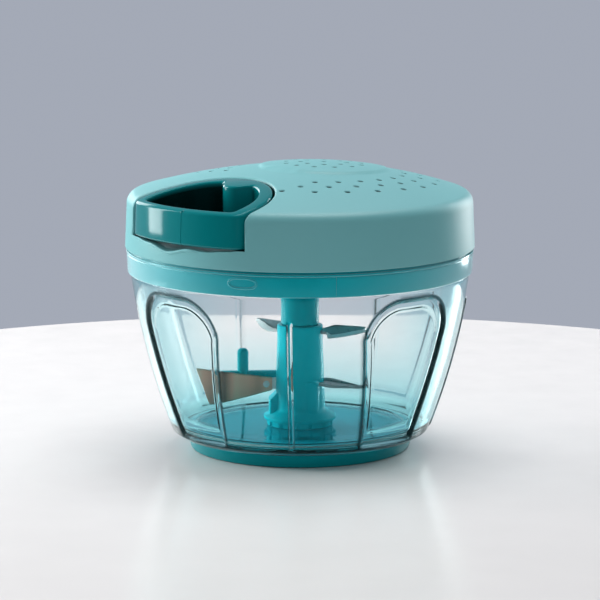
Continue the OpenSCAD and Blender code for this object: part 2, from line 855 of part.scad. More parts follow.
module cord_spool() {
    color([0.9, 0.9, 0.88]) difference() {
        union() {
            translate([0, 0, pawl_z]) cylinder(r = spool_r, h = drum_z - pawl_z);
            translate([0, 0, web_z]) cylinder(r = drum_r, h = spool_top_z - web_z);
            translate([0, 0, drum_top_z]) cylinder(r = spool_r, h = flange_t);
        }
        translate([0, 0, pawl_z - over]) linear_extrude(web_z - pawl_z + over) ratchet_room();
        translate([0, 0, drum_z]) cylinder(r = spring_room_r, h = spool_top_z - drum_z + over);
        translate([0, 0, web_z - over]) cylinder(r = axle_r + run_gap, h = web_t + 2 * over);
    }
}

module spring_cover() {
    color([0.8, 0.82, 0.82]) ring(axle_r + seat_gap, drum_r, spool_top_z, spring_cover_t);
}

module cord_winding() {
    color("white")
        ring(drum_r + run_gap, winding_r, drum_z + winding_margin, cord_room - 2 * winding_margin);
}

module drive_shaft() {
    color([0.05, 0.5, 0.53]) difference() {
        union() {
            translate([0, 0, shaft_z]) cylinder(r = shaft_r, h = clutch_z - shaft_z + over);
            translate([0, 0, shaft_z - drive_len]) cylinder(r = drive_r, h = drive_len + over, $fn = 6);
            translate([0, 0, clutch_z]) cylinder(r = clutch_r, h = clutch_t);
            for (turn = [0, 180])
                rotate([0, 0, turn + pawl_pivot_turn]) translate([pawl_pivot_at, 0, clutch_z])
                    cylinder(r = pawl_pin_r, h = clutch_t + seat_gap + pawl_t, $fn = small);
        }
        translate([0, 0, clutch_z + clutch_t - pilot_deep])
            cylinder(r = axle_r + run_gap, h = pilot_deep + over);
    }
}

module shaft_clip() {
    color("silver") ring(shaft_r, shaft_r + clip_wall, bush_z - seat_gap - clip_t, clip_t);
}

// Pawl between its eye and its tip, two circles joined by their common tangents
module pawl(turn) {
    pivot = polar(pawl_pivot_at, pawl_pivot_turn);
    tip = polar(pawl_tip_at, pawl_tip_turn);
    run = tip - pivot;
    slant = acos((pawl_eye_r - pawl_tip_r) / norm(run));
    rotate([0, 0, turn]) translate([pivot.x, pivot.y, pawl_z]) rotate([0, 0, atan2(run.y, run.x)])
        linear_extrude(pawl_t) difference() {
            union() {
                circle(r = pawl_eye_r, $fn = small);
                translate([norm(run), 0]) circle(r = pawl_tip_r, $fn = small);
                polygon([
                    polar(pawl_eye_r, slant),
                    polar(pawl_eye_r, -slant),
                    [norm(run), 0] + polar(pawl_tip_r, -slant),
                    [norm(run), 0] + polar(pawl_tip_r, slant)
                ]);
            }
            circle(r = pawl_pin_r + run_gap, $fn = small);
        }
}

module pawl_a() {
    color("orange") pawl(0);
}

module pawl_b() {
    color("orange") pawl(180);
}

module pull_handle() {
    tall = cover_side_h + 2 * dome_rise;
    color([0.02, 0.42, 0.45]) difference() {
        intersection() {
            rotate_extrude() lid_section(0, handle_edge, handle_z);
            translate([0, 0, handle_z]) linear_extrude(tall) loop_plan(handle_r);
        }
        translate([0, 0, handle_z - over]) linear_extrude(tall) difference() {
            intersection() {
                loop_plan(handle_r - handle_rim);
                circle(r = cover_r - grip_t);
            }
            translate([0, boss_y]) circle(r = boss_r);
        }
        translate([0, boss_y, handle_z - over]) cylinder(r = knot_room_r, h = cord_z + knot_room_r - handle_z + over);
        cord_hole(cord_r + seat_gap, boss_y, -handle_back + over);
        translate([-seam_w / 2, -cover_r - over, handle_z - over]) cube([seam_w, seam_deep + over, tall]);
    }
}

module cord_knot() {
    color("white") translate([0, knot_y, cord_z]) sphere(r = knot_r, $fn = small);
}

bowl();
base_pad();
pivot_pin();
blade_hub();
upper_blade();
lower_blade();
paddle_blade();
paddle_tab();
paddle_arm();
paddle_rivet();
lid_cover();
lid_collar();
lid_gasket();
lid_screws();
shaft_bush();
spool_axle();
recoil_spring();
cord_eyelet();
cord_lead();
cord_spool();
spring_cover();
cord_winding();
drive_shaft();
shaft_clip();
pawl_a();
pawl_b();
pull_handle();
cord_knot();
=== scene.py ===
"""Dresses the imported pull-string food chopper and sets it on a studio table.

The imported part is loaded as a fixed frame. The pieces that show are modelled in place of their plain
solids, and every piece gets its finish. Sizes are in metres in the part's own frame: the origin is under
the foot, Z is up and the handle pulls out along -Y. An azimuth is counted in degrees from -Y toward +X.
"""

import math

import bpy
import numpy as np
from bpy.props import FloatProperty, FloatVectorProperty, PointerProperty
from bpy.types import Operator, Panel, PropertyGroup
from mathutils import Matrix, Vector


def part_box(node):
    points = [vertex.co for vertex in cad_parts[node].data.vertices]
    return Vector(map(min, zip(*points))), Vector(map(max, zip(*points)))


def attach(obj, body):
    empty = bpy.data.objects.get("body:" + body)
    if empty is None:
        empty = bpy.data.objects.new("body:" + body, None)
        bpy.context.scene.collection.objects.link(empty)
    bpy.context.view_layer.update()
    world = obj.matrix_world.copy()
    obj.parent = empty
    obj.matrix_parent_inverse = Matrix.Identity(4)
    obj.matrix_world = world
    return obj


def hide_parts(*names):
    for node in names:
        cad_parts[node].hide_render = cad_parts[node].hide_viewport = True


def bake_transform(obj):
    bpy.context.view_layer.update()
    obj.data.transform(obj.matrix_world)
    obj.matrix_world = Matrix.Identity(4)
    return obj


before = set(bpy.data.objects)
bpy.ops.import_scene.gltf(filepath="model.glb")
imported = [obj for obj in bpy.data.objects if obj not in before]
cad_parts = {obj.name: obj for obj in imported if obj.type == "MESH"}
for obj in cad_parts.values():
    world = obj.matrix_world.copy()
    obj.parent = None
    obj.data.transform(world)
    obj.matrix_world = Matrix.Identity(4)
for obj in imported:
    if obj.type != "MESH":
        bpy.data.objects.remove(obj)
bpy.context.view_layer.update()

bl_info = {
    "name": "Pull-String Food Chopper",
    "version": (1, 0, 0),
    "blender": (4, 5, 0),
    "location": "View3D > Sidebar > Chopper",
    "description": "Models and finishes a pull-string food chopper over its packed frame",
    "category": "Object",
}

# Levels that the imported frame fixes
FOOT_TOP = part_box("base_pad")[1][2]
NECK_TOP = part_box("bowl")[1][2]
BAND_LOW, BAND_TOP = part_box("lid_collar")[0][2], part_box("lid_collar")[1][2]
COVER_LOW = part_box("lid_cover")[0][2]
HANDLE_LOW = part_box("pull_handle")[0][2]
HUB_LOW, HUB_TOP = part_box("blade_hub")[0][2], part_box("blade_hub")[1][2]
UPPER_LOW, UPPER_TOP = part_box("upper_blade")[0][2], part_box("upper_blade")[1][2]
LOWER_LOW, LOWER_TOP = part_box("lower_blade")[0][2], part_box("lower_blade")[1][2]
PADDLE_LEVEL = (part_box("paddle_rivet")[0][2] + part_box("paddle_rivet")[1][2]) / 2
CLUTCH_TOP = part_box("pawl_a")[0][2] - 0.0003
CORD_LEVEL = (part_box("cord_knot")[0][2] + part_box("cord_knot")[1][2]) / 2

# Height of the bowl's lower edge, over its underside chamfer
EDGE_Z = FOOT_TOP + 0.0017
# Shares of the bowl's columns, from a panel's middle to the rib, where its flat, its edge and the wall end
FLAT_SHARE, EDGE_SHARE, RIB_SHARE = 0.08, 0.72, 0.88
# Degrees on either side of a rib's middle that get close columns
RIB_SPAN = 2.0
# Left and right end of the finger hollow, counted from the middle
SCOOP_LEFT, SCOOP_RIGHT = -0.024, 0.0265
# Height above the whole lid, where cutting tools end
TOOL_TOP = 0.12
# Plan point inside the finger hole from which the handle's outlines are measured
LOOP_EYE = (0.0, -0.046)
# Gap between the paddle's sheet and its arm
ARM_GAP = 0.00005
# Focal length and sensor width of the camera, in millimetres
LENS, SENSOR = 182.1, 36.0
# Points closer than this become one
MERGE = 1e-6
# Steps of a full turn on the lathe
TURN_STEPS = 192


def length(label, text, value):
    """A size that a user can change."""
    return FloatProperty(name=label, description=text, default=value, unit="LENGTH", precision=4)


def bearing(label, text, value):
    """An azimuth that a user can change, in degrees."""
    return FloatProperty(name=label, description=text, default=value, precision=1)


def colour(label, text, value):
    """A colour that a user can change."""
    return FloatVectorProperty(
        name=label, description=text, default=value, subtype="COLOR", size=4, min=0.0, max=1.0
    )


class ChopperBowl(PropertyGroup):
    shoulder_r: length("Shoulder Radius", "Outer radius of the bowl at its shoulder", 0.0622)
    underside_r: length("Underside Radius", "Outer radius of the bowl at its underside", 0.0466)
    bulge: length("Bulge", "How far the wall bulges out of a straight line", 0.0019)
    wall: length("Wall", "Thickness of the bowl wall", 0.0024)
    floor_t: length("Floor", "Thickness of the bowl floor", 0.0027)
    corner_r: length("Corner Radius", "Radius between floor and wall", 0.005)
    edge: length("Underside Chamfer", "Width of the chamfer round the underside", 0.002)
    neck_step: length("Neck Step", "How far the neck stands in from the shoulder", 0.0019)
    neck_wall: length("Neck Wall", "Thickness of the neck wall", 0.0022)
    panel_az: bearing("Panel Azimuth", "Azimuth of the first arched panel", -4.0)
    panel_half_w: length("Panel Half Width", "Half the width of an arched panel at its top", 0.0185)
    panel_foot: length("Panel Foot", "Half the width of an arched panel at table height", 0.0103)
    panel_drop: length("Panel Drop", "Distance of a panel's top below the shoulder", 0.0036)
    panel_corner: length("Panel Corner", "Radius of a panel's two top corners", 0.013)
    panel_depth: length("Panel Depth", "Depth of a panel in the outer face", 0.001)
    panel_slope: length("Panel Slope", "Width of the slope at a panel's edge", 0.0026)
    # The dark line along a panel's edge is painted shade.
    line_w: length("Edge Line", "Width of the dark line along a panel's edge", 0.0014)
    line_out: length("Edge Line Place", "Distance of the dark line's middle outside the panel's line", 0.0009)
    inner_inset: length("Inner Inset", "How far the panel's line on the inner face stands in", 0.0032)
    inner_depth: length("Inner Depth", "How far the panel stands in on the inner face", 0.0005)
    rib_w: length("Rib Width", "Width of an upright rib", 0.0018)
    rib_h: length("Rib Height", "How far a rib stands out of the wall", 0.0006)
    rib_drop: length("Rib Drop", "Distance of a rib's top below the shoulder", 0.009)
    bead_r: length("Floor Bead Radius", "Radius of the ring bead on the floor", 0.0392)


class ChopperFoot(PropertyGroup):
    table_r: length("Table Radius", "Radius of the foot on the table", 0.0402)
    top_r: length("Top Radius", "Radius of the foot where it meets the bowl", 0.042)
    edge: length("Edge Radius", "Radius of the foot's lower edge", 0.0008)


class ChopperCollar(PropertyGroup):
    low_r: length("Lower Radius", "Radius of the band at its lower edge", 0.06315)
    top_r: length("Upper Radius", "Radius of the band at its upper edge", 0.0636)
    inner_r: length("Inner Radius", "Radius of the band's inside", 0.06065)
    plate_t: length("Plate", "Thickness of the plate that carries the drive", 0.0022)
    bore_r: length("Bore Radius", "Radius of the hole for the shaft's bush", 0.00935)
    edge: length("Edge Radius", "Radius of the band's outer edges", 0.00045)
    mark_az: bearing("Mark Azimuth", "Azimuth of the oval mark", 26.0)
    mark_len: length("Mark Length", "Length of the oval mark", 0.011)
    mark_tall: length("Mark Height", "Height of the oval mark", 0.0044)
    mark_line: length("Mark Line", "Width of the mark's raised line", 0.0008)
    seam_az: bearing("Seam Azimuth", "Azimuth of the band's mould seam", 56.0)


class ChopperCover(PropertyGroup):
    low_r: length("Lower Radius", "Radius of the cover at its lower edge", 0.064)
    top_r: length("Upper Radius", "Radius of the cover's side at its top", 0.0633)
    side_h: length("Side Height", "Height of the side up to the dome's edge", 0.0195)
    dome_rise: length("Dome Rise", "Rise of the dome over its edge", 0.0094)
    dome_back: length("Dome Back", "How far the dome's highest point stands behind the axis", 0.0052)
    shoulder: length("Shoulder", "Radius of the rounded shoulder", 0.0045)
    wall: length("Wall", "Thickness of the cover", 0.0022)
    lip: length("Lip", "Radius of the lip round the notch", 0.0009)
    pad_back: length("Pad Back", "Distance of the palm pad's centre behind the axis", 0.0125)
    dimple_back: length("Dimple Back", "Distance of the dimple rows' centre behind the axis", 0.008)
    pad_r: length("Pad Radius", "Radius of the palm pad", 0.0235)
    pad_rise: length("Pad Rise", "How far the palm pad is raised", 0.0008)
    pad_slope: length("Pad Slope", "Width of the slope round the palm pad", 0.0014)
    dimple_r: length("Dimple Radius", "Radius of a dimple", 0.00105)
    dimple_deep: length("Dimple Depth", "Depth of a dimple", 0.0013)
    dimple_row_r: length("Dimple Row", "Radius of the inmost row outside the pad", 0.0327)
    dimple_row_gap: length("Dimple Row Gap", "Distance between dimple rows", 0.0061)
    floor_h: length("Notch Floor", "Height of the notch's floor over the cover's lower edge", 0.007)
    floor_t: length("Notch Floor Thickness", "Thickness of the notch's floor", 0.003)
    notch_wall: length("Notch Wall", "Thickness of the notch's wall", 0.002)
    notch_gap: length("Notch Gap", "Gap round the handle in its notch", 0.0008)


class ChopperHandle(PropertyGroup):
    back: length("Back", "Distance of the handle's back from the axis", 0.0255)
    loop_r: length("Loop Radius", "Radius of the handle's round back", 0.0275)
    rim: length("Rim", "Width of the handle's rim", 0.005)
    grip_t: length("Front Wall", "Thickness of the handle's front wall", 0.0032)
    boss_r: length("Boss Radius", "Radius of the cord boss", 0.0065)
    boss_out: length("Boss Reach", "Distance of the boss's centre in front of the handle's back", 0.005)
    outer_edge: length("Outer Edge", "Radius of the upper outer edge", 0.0011)
    inner_edge: length("Inner Edge", "Radius of the upper edge of the finger hole", 0.0009)
    low_edge: length("Lower Edge", "Radius of the edge under the front", 0.0008)
    seam_deep: length("Seam Depth", "Depth of the mould seam on the front", 0.00035)


class ChopperDrive(PropertyGroup):
    shaft_r: length("Shaft Radius", "Radius of the drive shaft", 0.007)
    drive_r: length("Drive End Radius", "Radius of the six-sided drive end, over its corners", 0.006)
    drive_len: length("Drive End Length", "Length of the six-sided drive end", 0.014)
    clutch_r: length("Clutch Radius", "Radius of the disc that carries the pawls", 0.0166)
    hub_r: length("Hub Radius", "Radius of the hub's sleeve", 0.0084)
    flange_r: length("Flange Radius", "Radius of the hub's flange", 0.0134)
    foot_r: length("Hub Foot Radius", "Radius of the collar under the flange", 0.0123)
    pin_r: length("Pin Radius", "Radius of the floor pin", 0.003)
    post_az: bearing("Post Azimuth", "Azimuth of the post under the lower blade", 77.0)
    post_r: length("Post Radius", "Radius of the post under the lower blade", 0.0038)
    post_sunk: length("Post Sunk", "How far the post's centre stands inside the sleeve's face", 0.0022)
    gusset_len: length("Gusset Length", "How far the paddle's gusset stands out of the sleeve", 0.003)
    gusset_w: length("Gusset Width", "Width of the paddle's gusset", 0.007)


class ChopperBlades(PropertyGroup):
    upper_az: bearing("Upper Azimuth", "Azimuth of the upper blade's first wing", 113.0)
    upper_turn: bearing("Upper Turn", "Angle from the upper blade's first wing to its second", 164.0)
    pitch: bearing("Pitch", "How far a knife wing leans about its length", 9.0)
    blunt_pitch: bearing("Blunt Pitch", "How far the blunt-ended wing leans about its length", 16.0)
    upper_reach: length("Upper Reach", "Reach of the upper blade's two wings", 0.0245)
    lower_az: bearing("Lower Azimuth", "Azimuth of the lower blade", 128.0)
    lower_reach: length("Lower Reach", "Reach of the lower blade", 0.0235)
    wing_w: length("Wing Width", "Width of a knife wing", 0.011)
    ground_w: length("Ground Edge", "Width of the ground cutting edge", 0.0022)
    thick: length("Thickness", "Thickness of the blade steel", 0.001)
    paddle_az: bearing("Paddle Azimuth", "Azimuth of the paddle", -41.0)
    paddle_reach: length("Paddle Reach", "Reach of the paddle", 0.0385)
    paddle_tall: length("Paddle Height", "Height of the paddle at its outer end", 0.0136)
    paddle_root: length("Paddle Root Height", "Height of the paddle at its root", 0.0048)
    paddle_bow: length("Paddle Bow", "How far the paddle's sheet is bowed", 0.0009)
    arm_len: length("Arm Length", "Length of the arm from the axis", 0.03)
    arm_t: length("Arm Thickness", "Thickness of the arm behind the paddle", 0.003)
    arm_tall: length("Arm Height", "Height of the arm", 0.005)
    peg_at: length("Peg Place", "Distance of the peg from the axis", 0.021)
    peg_r: length("Peg Radius", "Radius of the peg on the arm", 0.0021)


class ChopperCord(PropertyGroup):
    cord_r: length("Cord Radius", "Radius of the pull cord", 0.0009)
    drum_r: length("Drum Radius", "Radius of the drum that the cord winds on", 0.0145)
    lead_r: length("Lead Radius", "Distance from the axis at which the lead leaves the winding", 0.01755)
    bend_out: length("Bend", "Distance of the lead's bend at the eyelet from the axis", 0.021)
    eyelet_out: length("Eyelet", "Distance of the eyelet's outer end from the axis", 0.0247)
    knot_out: length("Knot", "Distance of the knot from the axis", 0.03)
    knot_r: length("Knot Radius", "Radius of the knot", 0.0024)


class ChopperColours(PropertyGroup):
    lid: colour("Lid", "Pale satin plastic of the cover", (0.145, 0.41, 0.435, 1.0))
    handle: colour("Handle", "Dark glossy plastic of the handle", (0.001, 0.165, 0.180, 1.0))
    # Painted shade: this colour darkens the finger hole where shade falls.
    hole_painted_shade: colour("Handle Inside", "Painted shade inside the finger hole", (0.0003, 0.010, 0.010, 1.0))
    glint: colour("Glint", "Tint of the shine on the dark teal plastics", (0.02, 0.6, 0.7, 1.0))
    # Painted shade: this dark colour is put in the notch, in the dimples and in the finger hollow, where
    # shade falls.
    well: colour("Handle Well", "Painted shade inside the notch, its dimples and the finger hollow", (0.002, 0.030, 0.032, 1.0))
    collar: colour("Collar", "Translucent plastic of the collar", (0.002, 0.42, 0.485, 1.0))
    # Painted sheen: the collar's colour turns paler where it is seen at a slant.
    collar_painted_sheen: colour("Collar Side", "Painted sheen of the collar where it is seen at a slant", (0.52, 0.82, 0.86, 1.0))
    hub: colour("Hub", "Teal plastic of the blade hub", (0.001, 0.52, 0.61, 1.0))
    drive: colour("Drive", "Plastic of shaft and arm", (0.001, 0.35, 0.41, 1.0))
    foot: colour("Foot", "Rubber of the foot", (0.001, 0.20, 0.225, 1.0))
    # Painted light: a lighter copy of the foot's rubber for its top face.
    foot_top_painted_light: colour("Foot Top", "Painted light on the foot's top under the clear floor", (0.008, 0.52, 0.61, 1.0))
    clear: colour("Clear Bowl", "Clear plastic of the bowl", (0.985, 0.998, 0.998, 1.0))
    clear_side: colour("Clear Side", "Clear plastic where it is seen at a slant", (0.13, 0.66, 0.72, 1.0))
    # Painted shade: dark colour along the bowl's panel edges, ribs and lower edge.
    clear_edge_painted_shade: colour("Clear Edge", "Painted shade along the clear bowl's panel edges and rim", (0.0006, 0.012, 0.016, 1.0))
    knife: colour("Knife", "Polished steel of the knives", (0.30, 0.32, 0.33, 1.0))
    paddle: colour("Paddle", "Warm brushed steel of the paddle", (1.0, 0.46, 0.32, 1.0))
    ground: colour("Ground Edge", "Steel of the knives' ground edges", (0.95, 0.96, 0.96, 1.0))
    bright: colour("Bright Steel", "Steel of the paddle's tab and rivet", (0.85, 0.84, 0.83, 1.0))
    fitting: colour("Fittings", "Steel of pin, axle, clip, eyelet and screws", (0.66, 0.67, 0.68, 1.0))
    spring: colour("Spring", "Blued steel of the recoil spring", (0.20, 0.22, 0.26, 1.0))
    white: colour("White Plastic", "Plastic of spool, pawls and bush", (0.78, 0.80, 0.79, 1.0))
    seal: colour("Seal", "Rubber of the lid's seal", (0.72, 0.78, 0.78, 1.0))
    cord: colour("Cord", "Fibre of the pull cord", (0.80, 0.79, 0.75, 1.0))
    table: colour("Table", "Pale table top", (0.765, 0.75, 0.745, 1.0))
    wall: colour("Background", "Plain background behind the table", (0.37, 0.40, 0.47, 1.0))
    wall_through: colour("Background Through", "Background seen through the bowl", (0.50, 0.54, 0.61, 1.0))
    dark: colour("Dark Side", "What shines back from the camera's side", (0.015, 0.018, 0.022, 1.0))


class ChopperStudio(PropertyGroup):
    camera_az: bearing("Camera Azimuth", "Azimuth that the camera looks from", 44.5)
    camera_out: length("Camera Distance", "Distance of the camera from the axis", 1.1)
    camera_z: length("Camera Height", "Height of the camera", 0.2434)
    camera_down: bearing("Camera Pitch", "How far the camera looks down", 9.765)
    table_r: length("Table Radius", "Radius of the round table top", 0.275)


# Selecting, drawing and cutting


def deselect():
    """Leaves edit mode and selects nothing."""
    if bpy.context.object and bpy.context.object.mode != "OBJECT":
        bpy.ops.object.mode_set(mode="OBJECT")
    bpy.ops.object.select_all(action="DESELECT")


def pick(*pieces):
    """Selects pieces and makes the first one active."""
    deselect()
    for piece in pieces:
        piece.select_set(True)
    bpy.context.view_layer.objects.active = pieces[0]


def close_up():
    """Merges doubled points of the mesh in edit mode and turns its faces outward."""
    bpy.ops.mesh.select_all(action="SELECT")
    bpy.ops.mesh.remove_doubles(threshold=MERGE)
    bpy.ops.mesh.normals_make_consistent(inside=False)


def lathe(name, section, steps=TURN_STEPS):
    """A body turned from a section of (radius, height) points, from axis to axis or back to its start."""
    deselect()
    bpy.ops.mesh.primitive_plane_add(size=0.001, enter_editmode=True, location=(0, 0, 0))
    body = bpy.context.object
    body.name = name
    bpy.ops.mesh.merge(type="CENTER")
    bpy.ops.transform.translate(value=(section[0][0], 0, section[0][1]))
    for (r0, z0), (r1, z1) in zip(section, section[1:]):
        bpy.ops.mesh.extrude_region_move(TRANSFORM_OT_translate={"value": (r1 - r0, 0, z1 - z0)})
    bpy.ops.mesh.select_all(action="SELECT")
    bpy.ops.mesh.spin(steps=steps, angle=math.tau, center=(0, 0, 0), axis=(0, 0, 1))
    close_up()
    bpy.ops.object.mode_set(mode="OBJECT")
    return body


def loft(name, rings, caps=False):
    """A skin over rings of equally many points: a grid whose rows are laid along the rings."""
    columns, rows = len(rings[0]), len(rings) - 1
    deselect()
    bpy.ops.mesh.primitive_grid_add(x_subdivisions=columns, y_subdivisions=rows, size=1, location=(0, 0, 0))
    skin = bpy.context.object
    skin.name = name
    for vertex in skin.data.vertices:
        column = round((vertex.co.x + 0.5) * columns) % columns
        row = round((vertex.co.y + 0.5) * rows)
        vertex.co = rings[row][column]
    bpy.ops.object.mode_set(mode="EDIT")
    close_up()
    if caps:
        bpy.ops.mesh.fill_holes(sides=0)
        close_up()
    bpy.ops.object.mode_set(mode="OBJECT")
    return skin


def combine(body, tool, operation):
    """Cuts a tool out of a body, joins it on or keeps what both share, and removes the tool."""
    pick(body)
    bpy.ops.object.modifier_add(type="BOOLEAN")
    cut = body.modifiers[-1]
    cut.operation = operation
    cut.solver = "EXACT"
    cut.object = tool
    bpy.ops.object.modifier_apply(modifier=cut.name)
    pick(tool)
    bpy.ops.object.delete()
    return body


def join(body, *others):
    """Adds the meshes of other pieces to a body as they are."""
    pick(body, *others)
    bpy.ops.object.join()
    return body


def shift(piece, by):
    """Moves the whole mesh of a piece while its origin stays."""
    pick(piece)
    bpy.ops.object.mode_set(mode="EDIT")
    bpy.ops.mesh.select_all(action="SELECT")
    bpy.ops.transform.translate(value=by)
    bpy.ops.object.mode_set(mode="OBJECT")
    return piece


def dress(piece, finish, smooth):
    """Shades a piece smooth up to an angle and gives it a finish."""
    pick(piece)
    bpy.ops.object.shade_smooth_by_angle(angle=math.radians(smooth))
    piece.data.materials.clear()
    piece.data.materials.append(bpy.data.materials[finish])


def settle(piece, body, nodes, finish, smooth=32.0):
    """Dresses a finished piece and puts it in place of its plain solids."""
    dress(piece, finish, smooth)
    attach(piece, body)
    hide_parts(*nodes)


# Lines and curves


def along(start, stop, gap):
    """Evenly spaced values from start to stop, about a gap apart."""
    count = max(1, round(abs(stop - start) / gap))
    return [start + (stop - start) * i / count for i in range(count + 1)]


def ease(x):
    """0 below 0, 1 above 1 and a smooth step between them."""
    x = min(max(x, 0.0), 1.0)
    return x * x * (3.0 - 2.0 * x)


def swell(x):
    """A smooth bump of height 1 at 0 that ends at -1 and 1."""
    return ease(1.0 - abs(x))


def rounded(corners, steps=5):
    """A line through (x, y, radius) corners, each inner corner rounded by its radius."""
    line = [corners[0][:2]]
    for before, (x, y, r), after in zip(corners, corners[1:], corners[2:]):
        corner = Vector((x, y))
        if r == 0.0:
            line.append((x, y))
            continue
        back = (Vector(before[:2]) - corner).normalized()
        on = (Vector(after[:2]) - corner).normalized()
        half = back.angle(on) / 2
        centre = corner + (back + on).normalized() * r / math.sin(half)
        first = corner + back * r / math.tan(half) - centre
        last = corner + on * r / math.tan(half) - centre
        sweep = first.angle(last)
        for i in range(steps + 1):
            share = i / steps
            spoke = first * math.sin((1 - share) * sweep) + last * math.sin(share * sweep)
            point = centre + spoke / math.sin(sweep)
            line.append((point.x, point.y))
    line.append(corners[-1][:2])
    return line


def toward(az, r):
    """Plan point at an azimuth and a distance from the axis."""
    return Vector((r * math.sin(math.radians(az)), -r * math.cos(math.radians(az))))


def beside(az, out, side, z):
    """Point out along an azimuth, set to the left of that line by side, at a height."""
    on = toward(az, 1.0)
    return Vector((out * on.x - side * on.y, out * on.y + side * on.x, z))


def tube(path, r, sides=10, loop=False):
    """Rings of a round tube along a path; a loop ends in its first ring."""
    rings = []
    count = len(path)
    for i, point in enumerate(path):
        if loop:
            run = path[(i + 1) % count] - path[i - 1]
        else:
            run = path[min(i + 1, count - 1)] - path[max(i - 1, 0)]
        run.normalize()
        across = run.cross(Vector((0, 0, 1)) if abs(run.z) < 0.9 else Vector((1, 0, 0))).normalized()
        over = across.cross(run)
        turns = [math.tau * k / sides for k in range(sides)]
        rings.append([point + r * (math.cos(a) * across + math.sin(a) * over) for a in turns])
    if loop:
        rings.append(rings[0])
    return rings


# Finishes


def new_group(name, inputs, outputs):
    """An empty shader node group with named sockets."""
    tree = bpy.data.node_groups.new(name, "ShaderNodeTree")
    kinds = {"vector": "NodeSocketVector", "colour": "NodeSocketColor", "value": "NodeSocketFloat"}
    for socket, kind in inputs.items():
        tree.interface.new_socket(name=socket, in_out="INPUT", socket_type=kinds[kind])
    for socket, kind in outputs.items():
        tree.interface.new_socket(name=socket, in_out="OUTPUT", socket_type=kinds[kind])
    return tree, tree.nodes.new("NodeGroupInput"), tree.nodes.new("NodeGroupOutput")


def add(tree, kind, **values):
    """A node with its input sockets set by name."""
    node = tree.nodes.new(kind)
    for socket, value in values.items():
        node.inputs[socket.replace("_", " ")].default_value = value
    return node


def math_node(tree, operation, first=None, second=None):
    """A math node with links or plain numbers at its two inputs."""
    node = tree.nodes.new("ShaderNodeMath")
    node.operation = operation
    for index, value in enumerate((first, second)):
        if isinstance(value, (int, float)):
            node.inputs[index].default_value = value
        elif value is not None:
            tree.links.new(value, node.inputs[index])
    return node.outputs[0]


def colour_mix(tree, share, first, second):
    """A mix of two colours, each a link or a plain colour, by a share."""
    mix = tree.nodes.new("ShaderNodeMix")
    mix.data_type = "RGBA"
    tree.links.new(share, mix.inputs[0])
    for index, value in ((6, first), (7, second)):
        if isinstance(value, bpy.types.NodeSocket):
            tree.links.new(value, mix.inputs[index])
        else:
            mix.inputs[index].default_value = value
    return mix.outputs[2]


def moulded_group():
    """Moulded plastic: a fine grain in the surface and a slow drift of tone and gloss."""
    tree, enter, leave = new_group(
        "Moulded Surface",
        {"Place": "vector", "Colour": "colour", "Grain": "value", "Drift": "value", "Roughness": "value"},
        {"Colour": "colour", "Roughness": "value", "Height": "value"},
    )
    links = tree.links
    grain = add(tree, "ShaderNodeTexNoise", Detail=3.0, Roughness=0.6)
    links.new(enter.outputs["Place"], grain.inputs["Vector"])
    links.new(enter.outputs["Grain"], grain.inputs["Scale"])
    slow = add(tree, "ShaderNodeTexNoise", Scale=38.0, Detail=2.0, Roughness=0.5)
    links.new(enter.outputs["Place"], slow.inputs["Vector"])
    swing = math_node(tree, "SUBTRACT", slow.outputs["Fac"], 0.5)
    swing = math_node(tree, "MULTIPLY", swing, enter.outputs["Drift"])
    tone = add(tree, "ShaderNodeHueSaturation")
    links.new(math_node(tree, "ADD", swing, 1.0), tone.inputs["Value"])
    links.new(enter.outputs["Colour"], tone.inputs["Color"])
    speck = math_node(tree, "MULTIPLY", math_node(tree, "SUBTRACT", grain.outputs["Fac"], 0.5), 0.08)
    gloss = math_node(tree, "ADD", enter.outputs["Roughness"], math_node(tree, "ADD", swing, speck))
    links.new(tone.outputs["Color"], leave.inputs["Colour"])
    links.new(gloss, leave.inputs["Roughness"])
    links.new(grain.outputs["Fac"], leave.inputs["Height"])
    return tree


def brushed_group():
    """Brushed steel: fine lines along one direction that part tone, gloss and height."""
    tree, enter, leave = new_group(
        "Brushed Lines",
        {"Place": "vector", "Colour": "colour", "Contrast": "value", "Bands": "value", "Roughness": "value"},
        {"Colour": "colour", "Roughness": "value", "Height": "value"},
    )
    links = tree.links
    lines = add(tree, "ShaderNodeTexNoise", Scale=1.0, Detail=4.0, Roughness=0.7)
    links.new(enter.outputs["Place"], lines.inputs["Vector"])
    swing = math_node(tree, "SUBTRACT", lines.outputs["Fac"], 0.5)
    swing = math_node(tree, "MULTIPLY", swing, enter.outputs["Contrast"])
    bands = add(tree, "ShaderNodeTexNoise", Scale=0.14, Detail=1.0, Roughness=0.4)
    links.new(enter.outputs["Place"], bands.inputs["Vector"])
    shade = math_node(tree, "SUBTRACT", bands.outputs["Fac"], 0.5)
    shade = math_node(tree, "MULTIPLY", shade, enter.outputs["Bands"])
    tone = add(tree, "ShaderNodeHueSaturation")
    links.new(math_node(tree, "ADD", math_node(tree, "ADD", swing, shade), 1.0), tone.inputs["Value"])
    links.new(enter.outputs["Colour"], tone.inputs["Color"])
    gloss = math_node(tree, "ADD", enter.outputs["Roughness"], math_node(tree, "MULTIPLY", swing, 0.3))
    links.new(tone.outputs["Color"], leave.inputs["Colour"])
    links.new(gloss, leave.inputs["Roughness"])
    links.new(lines.outputs["Fac"], leave.inputs["Height"])
    return tree


def new_material(name):
    """A new material with its node tree and its shader."""
    material = bpy.data.materials.new(name)
    material.use_nodes = True
    return material, material.node_tree, material.node_tree.nodes["Principled BSDF"]


def object_place(tree, scale=None):
    """Object coordinates, stretched by a scale where one is given."""
    place = tree.nodes.new("ShaderNodeTexCoord").outputs["Object"]
    if scale is None:
        return place
    mapping = add(tree, "ShaderNodeMapping", Scale=scale)
    tree.links.new(place, mapping.inputs["Vector"])
    return mapping.outputs["Vector"]


